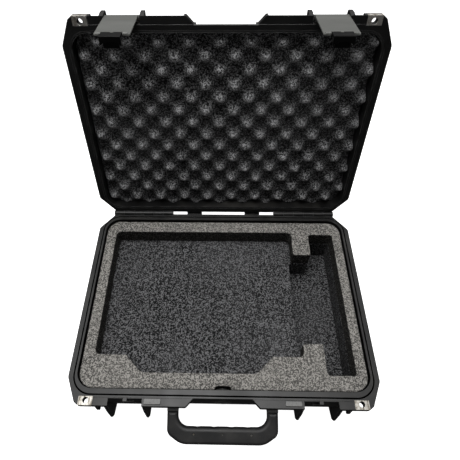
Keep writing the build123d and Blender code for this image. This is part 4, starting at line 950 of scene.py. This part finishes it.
@dataclass
class PeakedFoam:
    """The lid's foam: a sheet with staggered rows of rounded peaks.

    Attributes:
        swing: How the lid stands open.
        half: Half its width.
        front: Y of its front edge, with the lid shut.
        back: Y of its back edge.
        radius: Of its corners.
        ceiling: Z of the face glued to the lid's panel.
        valley: Z of the bottoms between the peaks.
        tip: Z of the peaks' tips.
        pitch_x: From peak to peak along a row.
        pitch_y: From row to row.
        first_x: X of a peak of the first row.
        first_y: Y of the first row.
        step: Size of its facets.
        wander: How far a peak strays from its place in the rows.
        stray: Waves in a metre of that straying.
        swell: Waves in a metre of the peaks' uneven height.
        sharp: How narrow the peaks are.
        rough: Height of the small unevenness.
        grit: Waves in a metre of it.
    """

    swing: LidSwing
    half: float = 235.5 * MM
    front: float = -161.25 * MM
    back: float = 170.75 * MM
    radius: float = 26.5 * MM
    ceiling: float = 139.2 * MM
    valley: float = 126.3 * MM
    tip: float = 110.6 * MM
    pitch_x: float = 48.0 * MM
    pitch_y: float = 23.25 * MM
    first_x: float = -8.0 * MM
    first_y: float = -147.75 * MM
    step: float = 2.4 * MM
    wander: float = 2.2 * MM
    stray: float = 25.0
    swell: float = 14.0
    sharp: float = 2.6
    rough: float = 0.45 * MM
    grit: float = 330.0

    def depth(self, x: np.ndarray, y: np.ndarray) -> np.ndarray:
        """Works out the peaked face.

        Args:
            x: X of each place.
            y: Y of each place, with the lid shut.

        Returns:
            Z of each place.
        """
        spots = list(zip(x, y))
        k = self.stray
        shift = np.array([noise.noise_vector((a * k, b * k, 3.1)) for a, b in spots])
        k = self.swell
        wide = np.array([noise.noise((a * k, b * k, 9.7)) for a, b in spots])
        k = self.grit
        fine = np.array([noise.noise((a * k, b * k, 1.3)) for a, b in spots])
        u = np.pi * (x + self.wander * shift[:, 0] - self.first_x) * 2 / self.pitch_x
        v = np.pi * (y + self.wander * shift[:, 1] - self.first_y) / self.pitch_y
        wave = (1 + np.cos(u) * np.cos(v)) / 2
        rise = wave**self.sharp * (1 + 0.06 * wide)
        z = self.valley - (self.valley - self.tip) * rise + self.rough * fine
        return np.clip(z, self.tip - 0.2 * MM, self.ceiling - 8 * MM)

    def build(self, wardrobe: Wardrobe) -> bpy.types.Object:
        """Makes the sheet in the open lid.

        Args:
            wardrobe: Where finishes come from.

        Returns:
            The sheet.
        """
        columns = int(2 * self.half / self.step) + 1
        rows = int((self.back - self.front) / self.step) + 1
        xs = np.linspace(-self.half, self.half, columns)
        ys = np.linspace(self.front, self.back, rows)
        x, y = (a.ravel() for a in np.meshgrid(xs, ys))
        inside_x = np.abs(x) - (self.half - self.radius)
        centre_y = np.clip(y, self.front + self.radius, self.back - self.radius)
        reach = np.hypot(inside_x, y - centre_y)
        corner = (inside_x > 0) & (y != centre_y)
        outside = corner & (reach > self.radius)
        pull = np.where(outside, self.radius / np.maximum(reach, 1e-9), 1.0)
        x = np.where(
            outside, np.sign(x) * (self.half - self.radius + inside_x * pull), x
        )
        y = np.where(outside, centre_y + (y - centre_y) * pull, y)
        points = np.stack([x, y, self.depth(x, y)], axis=1)
        grid = np.arange(rows * columns).reshape(rows, columns)
        quads = np.stack(
            [grid[:-1, :-1], grid[1:, :-1], grid[1:, 1:], grid[:-1, 1:]], axis=-1
        ).reshape(-1, 4)
        kept = quads[~outside[quads].all(axis=1)]
        piece = mesh_piece("peaked_lid_foam", points, kept)
        self.close(piece)
        piece.data.transform(self.swing.matrix())
        wardrobe.dress(piece, self.finish())
        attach(piece, "lid")
        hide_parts("lid_foam")
        LOG.info("%s: %d faces", piece.name, len(piece.data.polygons))
        return piece

    def finish(self) -> CutFoam:
        """Fits the finish, whose painted shade darkens from the tips down into the valleys.

        Returns:
            The foam's finish.
        """
        swing = self.swing.matrix()
        inward = swing.to_3x3() @ Vector((0.0, 0.0, 1.0))
        levels = (self.tip, self.valley + 1.5 * MM)
        reach = tuple((swing @ Vector((0.0, 0.0, level))).dot(inward) for level in levels)
        return replace(PEAK_FOAM, shade=tuple(inward), reach=reach)

    def close(self, piece: bpy.types.Object) -> None:
        """Adds the sheet's cut sides and its glued face.

        Args:
            piece: The peaked face alone.
        """
        shape = bmesh.new()
        shape.from_mesh(piece.data)
        loose = [v for v in shape.verts if not v.link_faces]
        bmesh.ops.delete(shape, geom=loose, context="VERTS")
        bmesh.ops.dissolve_degenerate(shape, dist=0.05 * MM, edges=shape.edges)
        rim = self.rim(shape)
        glued = [shape.verts.new((v.co.x, v.co.y, self.ceiling)) for v in rim]
        for k, vertex in enumerate(rim):
            side = shape.faces.new((rim[k - 1], vertex, glued[k], glued[k - 1]))
            side.smooth = True
        shape.faces.new(glued).smooth = True
        bmesh.ops.recalc_face_normals(shape, faces=shape.faces)
        shape.to_mesh(piece.data)
        shape.free()

    def rim(self, shape: bmesh.types.BMesh) -> list[bmesh.types.BMVert]:
        """Walks round the sheet's open edge.

        Args:
            shape: The peaked face alone.

        Returns:
            The edge's vertices in order.
        """
        edge = next(e for e in shape.edges if e.is_boundary)
        first, vertex = edge.verts
        walked = [first]
        while vertex != first:
            walked.append(vertex)
            edge = next(e for e in vertex.link_edges if e.is_boundary and e != edge)
            vertex = edge.other_vert(vertex)
        return walked


# ---------------------------------------------------------------- seal


@dataclass
class LidSeal:
    """The lid's O-ring, a round cord laid in its channel.

    Attributes:
        swing: How the lid stands open.
        half: Half the width to the cord's middle line.
        front: Y of its front run.
        back: Y of its back run.
        radius: Of its corners.
        level: Z of the middle of the cord.
        cord: Radius of the cord.
    """

    swing: LidSwing
    half: float = 239.6 * MM
    front: float = -165.35 * MM
    back: float = 174.85 * MM
    radius: float = 30.6 * MM
    level: float = 106.65 * MM
    cord: float = 1.42 * MM

    def build(self, wardrobe: Wardrobe) -> bpy.types.Object:
        """Makes the cord in the open lid.

        Args:
            wardrobe: Where finishes come from.

        Returns:
            The cord.
        """
        path, outward = rounded_outline(self.half, self.front, self.back, self.radius, 12)
        around = 12
        points = []
        for place, direction in zip(path, outward):
            for number in range(around):
                angle = 2 * math.pi * number / around
                out = self.cord * math.cos(angle)
                spot = place + out * direction
                points.append((*spot, self.level + self.cord * math.sin(angle)))
        count = len(path)
        faces = [
            (
                k * around + a,
                (k + 1) % count * around + a,
                (k + 1) % count * around + (a + 1) % around,
                k * around + (a + 1) % around,
            )
            for k in range(count)
            for a in range(around)
        ]
        piece = mesh_piece("lid_seal_cord", points, faces)
        piece.data.transform(self.swing.matrix())
        wardrobe.dress(piece, SEAL)
        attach(piece, "lid")
        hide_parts("lid_gasket")
        LOG.info("%s: %d faces", piece.name, len(piece.data.polygons))
        return piece


@dataclass
class PinRib:
    """A moulded rib on the lid's flange that backs the inner end of a latch's pin.

    Attributes:
        swing: How the lid stands open.
        side: Which latch it stands at, -1 for the left one and 1 for the right one.
        inner: X of its end nearer to the case's middle.
        outer: X of its other end.
        front: Y of the face towards the pin, with the lid shut.
        back: Y of the opposite face.
        foot: Z inside the flange.
        top: Z of its top.
    """

    swing: LidSwing
    side: int
    inner: float = 129.5 * MM
    outer: float = 139.0 * MM
    front: float = -175.3 * MM
    back: float = -167.0 * MM
    foot: float = 107.0 * MM
    top: float = 122.4 * MM

    def build(self, wardrobe: Wardrobe) -> bpy.types.Object:
        """Makes the rib in the open lid.

        Args:
            wardrobe: Where finishes come from.

        Returns:
            The rib.
        """
        xs = sorted((self.side * self.inner, self.side * self.outer))
        corners = [
            (x, y, z) for z in (self.foot, self.top) for y in (self.front, self.back) for x in xs
        ]
        faces = [
            (0, 2, 3, 1), (4, 5, 7, 6), (0, 1, 5, 4), (2, 6, 7, 3), (0, 4, 6, 2), (1, 3, 7, 5),
        ]
        label = SIDES[0] if self.side < 0 else SIDES[1]
        piece = mesh_piece(f"lid_pin_rib_{label}", corners, faces, smooth=False)
        piece.data.transform(self.swing.matrix())
        wardrobe.dress(piece, LID_SHELL)
        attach(piece, "lid")
        LOG.info("%s: %d faces", piece.name, len(piece.data.polygons))
        return piece


# ---------------------------------------------------------------- sub-assemblies


@dataclass
class Shells:
    """The base and lid mouldings with their hinge pins and padlock plates.

    Attributes:
        wardrobe: Where finishes come from.
    """

    wardrobe: Wardrobe

    def build(self) -> None:
        """Dresses the shells and their steel pieces."""
        self.wardrobe.dress_nodes(("base_shell",), BASE_SHELL)
        self.wardrobe.dress_nodes(("lid_shell",), LID_SHELL)
        for half, finish in (("base", SHADED_PLATE), ("lid", PADLOCK_PLATE)):
            plates = tuple(f"{half}_padlock_plate_{side}" for side in SIDES)
            self.wardrobe.dress_nodes(plates, finish)
        self.wardrobe.dress_nodes(tuple(f"hinge_pin_{side}" for side in SIDES), PIN)


@dataclass
class Latches:
    """The two draw latches with their triggers, springs and pins.

    Attributes:
        wardrobe: Where finishes come from.
    """

    wardrobe: Wardrobe

    def build(self) -> None:
        """Dresses both latches."""
        for side in SIDES:
            self.wardrobe.dress_nodes((f"latch_body_{side}",), LATCH_PLATE)
            self.wardrobe.dress_nodes((f"trigger_{side}",), TRIGGER)
            self.wardrobe.dress_nodes((f"latch_pin_{side}", f"trigger_pin_{side}"), DARK_PIN)
            self.wardrobe.dress_nodes((f"trigger_spring_{side}",), PIN)


@dataclass
class Handle:
    """The folding handle with its grip, screws and pins.

    Attributes:
        wardrobe: Where finishes come from.
    """

    wardrobe: Wardrobe

    def build(self) -> None:
        """Dresses the handle."""
        self.wardrobe.dress_nodes(("handle_frame",), HANDLE_FRAME)
        self.wardrobe.dress_nodes(("handle_grip",), GRIP_RUBBER)
        self.wardrobe.dress_nodes(tuple(f"handle_pin_{side}" for side in SIDES), PIN)
        screws = tuple(n for n in FRAME["nodes"] if n.startswith("grip_screw_"))
        self.wardrobe.dress_nodes(screws, SCREW)


@dataclass
class PurgeValve:
    """The pressure valve in the base's front wall.

    Attributes:
        wardrobe: Where finishes come from.
    """

    wardrobe: Wardrobe

    def build(self) -> None:
        """Dresses the valve."""
        self.wardrobe.dress_nodes(("valve_body", "valve_cap", "valve_nut"), VALVE)
        self.wardrobe.dress_nodes(("valve_seal",), SEAL)
        self.wardrobe.dress_nodes(("valve_membrane",), MEMBRANE)


@dataclass
class FoamInsert:
    """The three sheets of foam in the base.

    Attributes:
        wardrobe: Where finishes come from.
        blocks: The sheets, from top to bottom.
    """

    wardrobe: Wardrobe
    blocks: tuple[FoamBlock, ...] = field(
        default_factory=lambda: (
            FoamBlock("foam_top", GREY_FOAM),
            FoamBlock("foam_middle", CHARCOAL_FOAM),
            FoamBlock("foam_floor", CHARCOAL_FOAM, voxel=4.0 * MM),
        )
    )

    def build(self) -> None:
        """Makes every sheet."""
        for block in self.blocks:
            block.build(self.wardrobe)


# ---------------------------------------------------------------- studio


@dataclass
class Studio:
    """The camera, floor and lights.

    Attributes:
        eye: The camera's place.
        down: How far it looks down, in degrees.
        turn: Its turn about Z, in degrees.
        roll: Its roll, in degrees.
        focal: Focal length in pixels of a square frame.
        frame: The frame's side in pixels.
        centre: The optical axis in the frame, in pixels from its top left.
        sky: How brightly the backdrop lights from above and behind.
        gloom: How brightly it lights from everywhere else.
    """

    eye: Vector = field(default_factory=lambda: Vector((-6.321, -314.548, 772.625)) * MM)
    down: float = 55.297
    turn: float = -2.020
    roll: float = -1.197
    focal: float = 401.687
    frame: float = 460.0
    centre: tuple[float, float] = (212.013, 229.756)
    sky: float = 0.6
    gloom: float = 0.03

    def build(self) -> None:
        """Makes everything round the case."""
        self.camera()
        self.floor()
        self.world()
        self.lamp("overhead", Vector((-0.15, 0.12, 1.7)), (1.1, 0.8), 19.0)
        self.lamp("front_fill", Vector((-0.7, -1.5, 1.2)), (1.2, 0.9), 1.5, mirrored=False)

    def camera(self) -> None:
        """Makes the camera with its turn, roll and small shift."""
        c, s = math.cos(math.radians(self.down)), math.sin(math.radians(self.down))
        pitch = Matrix(((1, 0, 0), (0, c, -s), (0, s, c)))
        level = Matrix(((1, 0, 0), (0, 0, -1), (0, 1, 0)))
        c, s = math.cos(math.radians(self.turn)), math.sin(math.radians(self.turn))
        yaw = Matrix(((c, -s, 0), (s, c, 0), (0, 0, 1)))
        c, s = math.cos(math.radians(self.roll)), math.sin(math.radians(self.roll))
        spin = Matrix(((c, -s, 0), (s, c, 0), (0, 0, 1)))
        seen = spin @ pitch @ level @ yaw
        axes = Matrix((seen[0], -seen[1], -seen[2])).transposed()
        data = bpy.data.cameras.new("camera")
        data.sensor_width = 36.0
        data.lens = data.sensor_width * self.focal / self.frame
        data.shift_x = (self.frame / 2 - self.centre[0]) / self.frame
        data.shift_y = (self.centre[1] - self.frame / 2) / self.frame
        data.clip_start = 0.01
        camera = bpy.data.objects.new("camera", data)
        camera.matrix_world = Matrix.Translation(self.eye) @ axes.to_4x4()
        bpy.context.scene.collection.objects.link(camera)
        bpy.context.scene.camera = camera

    def floor(self) -> None:
        """Makes the pale floor, which glossy surfaces don't mirror."""
        side = 5.0
        points = [(-side, -side, 0), (side, -side, 0), (side, side, 0), (-side, side, 0)]
        piece = mesh_piece("floor", points, [(0, 1, 2, 3)], smooth=False)
        material = bpy.data.materials.new("pale_floor")
        material.use_nodes = True
        shader = material.node_tree.nodes["Principled BSDF"]
        shader.inputs["Base Color"].default_value = (0.9, 0.9, 0.9, 1.0)
        shader.inputs["Roughness"].default_value = 0.9
        wiring = Wiring(material.node_tree)
        seen = wiring.add("LightPath").outputs["Is Camera Ray"]
        shader.inputs["Emission Color"].default_value = (1.0, 1.0, 1.0, 1.0)
        wiring.feed(seen, shader.inputs["Emission Strength"])
        piece.data.materials.append(material)
        piece.visible_glossy = False

    def world(self) -> None:
        """Makes a white backdrop that lights from above and behind, and is dark in front."""
        world = bpy.data.worlds.new("studio")
        world.use_nodes = True
        wiring = Wiring(world.node_tree)
        seen = wiring.add("LightPath").outputs["Is Camera Ray"]
        way = wiring.add("TexCoord").outputs["Generated"]
        axes = wiring.add("SeparateXYZ", None, Vector=way).outputs
        above = wiring.span(axes["Z"], -0.05, 0.35)
        behind = wiring.span(axes["Y"], -0.75, 0.0)
        soft = wiring.math("MULTIPLY", above, behind)
        lit = wiring.math("MULTIPLY_ADD", soft, self.sky, self.gloom)
        back = world.node_tree.nodes["Background"]
        back.inputs["Color"].default_value = (1.0, 1.0, 1.0, 1.0)
        wiring.feed(wiring.math("MAXIMUM", seen, lit), back.inputs["Strength"])
        bpy.context.scene.world = world

    def lamp(
        self, name: str, place: Vector, size: tuple[float, float], power: float,
        mirrored: bool = True,
    ) -> None:
        """Makes a soft lamp that faces the case.

        Args:
            name: The lamp's name.
            place: Where it hangs.
            size: Its width and height.
            power: Its watts.
            mirrored: Whether glossy surfaces mirror it.
        """
        data = bpy.data.lights.new(name, "AREA")
        data.shape = "RECTANGLE"
        data.size, data.size_y = size
        data.energy = power
        lamp = bpy.data.objects.new(name, data)
        lamp.visible_glossy = mirrored
        lamp.location = place
        aim = Vector((0.0, 0.0, 0.15)) - place
        lamp.rotation_euler = aim.to_track_quat("-Z", "Y").to_euler()
        bpy.context.scene.collection.objects.link(lamp)


def main() -> None:
    """Builds the case's looks and the studio."""
    logging.basicConfig(level=logging.INFO, format="%(message)s")
    noise.seed_set(SEED)
    wardrobe = Wardrobe()
    swing = LidSwing.of_frame()
    Shells(wardrobe).build()
    Latches(wardrobe).build()
    Handle(wardrobe).build()
    PurgeValve(wardrobe).build()
    FoamInsert(wardrobe).build()
    PeakedFoam(swing).build(wardrobe)
    LidSeal(swing).build(wardrobe)
    for side in (-1, 1):
        PinRib(swing, side).build(wardrobe)
    Studio().build()
    bpy.context.scene.view_settings.view_transform = "Standard"


if __name__ == "__main__":
    main()
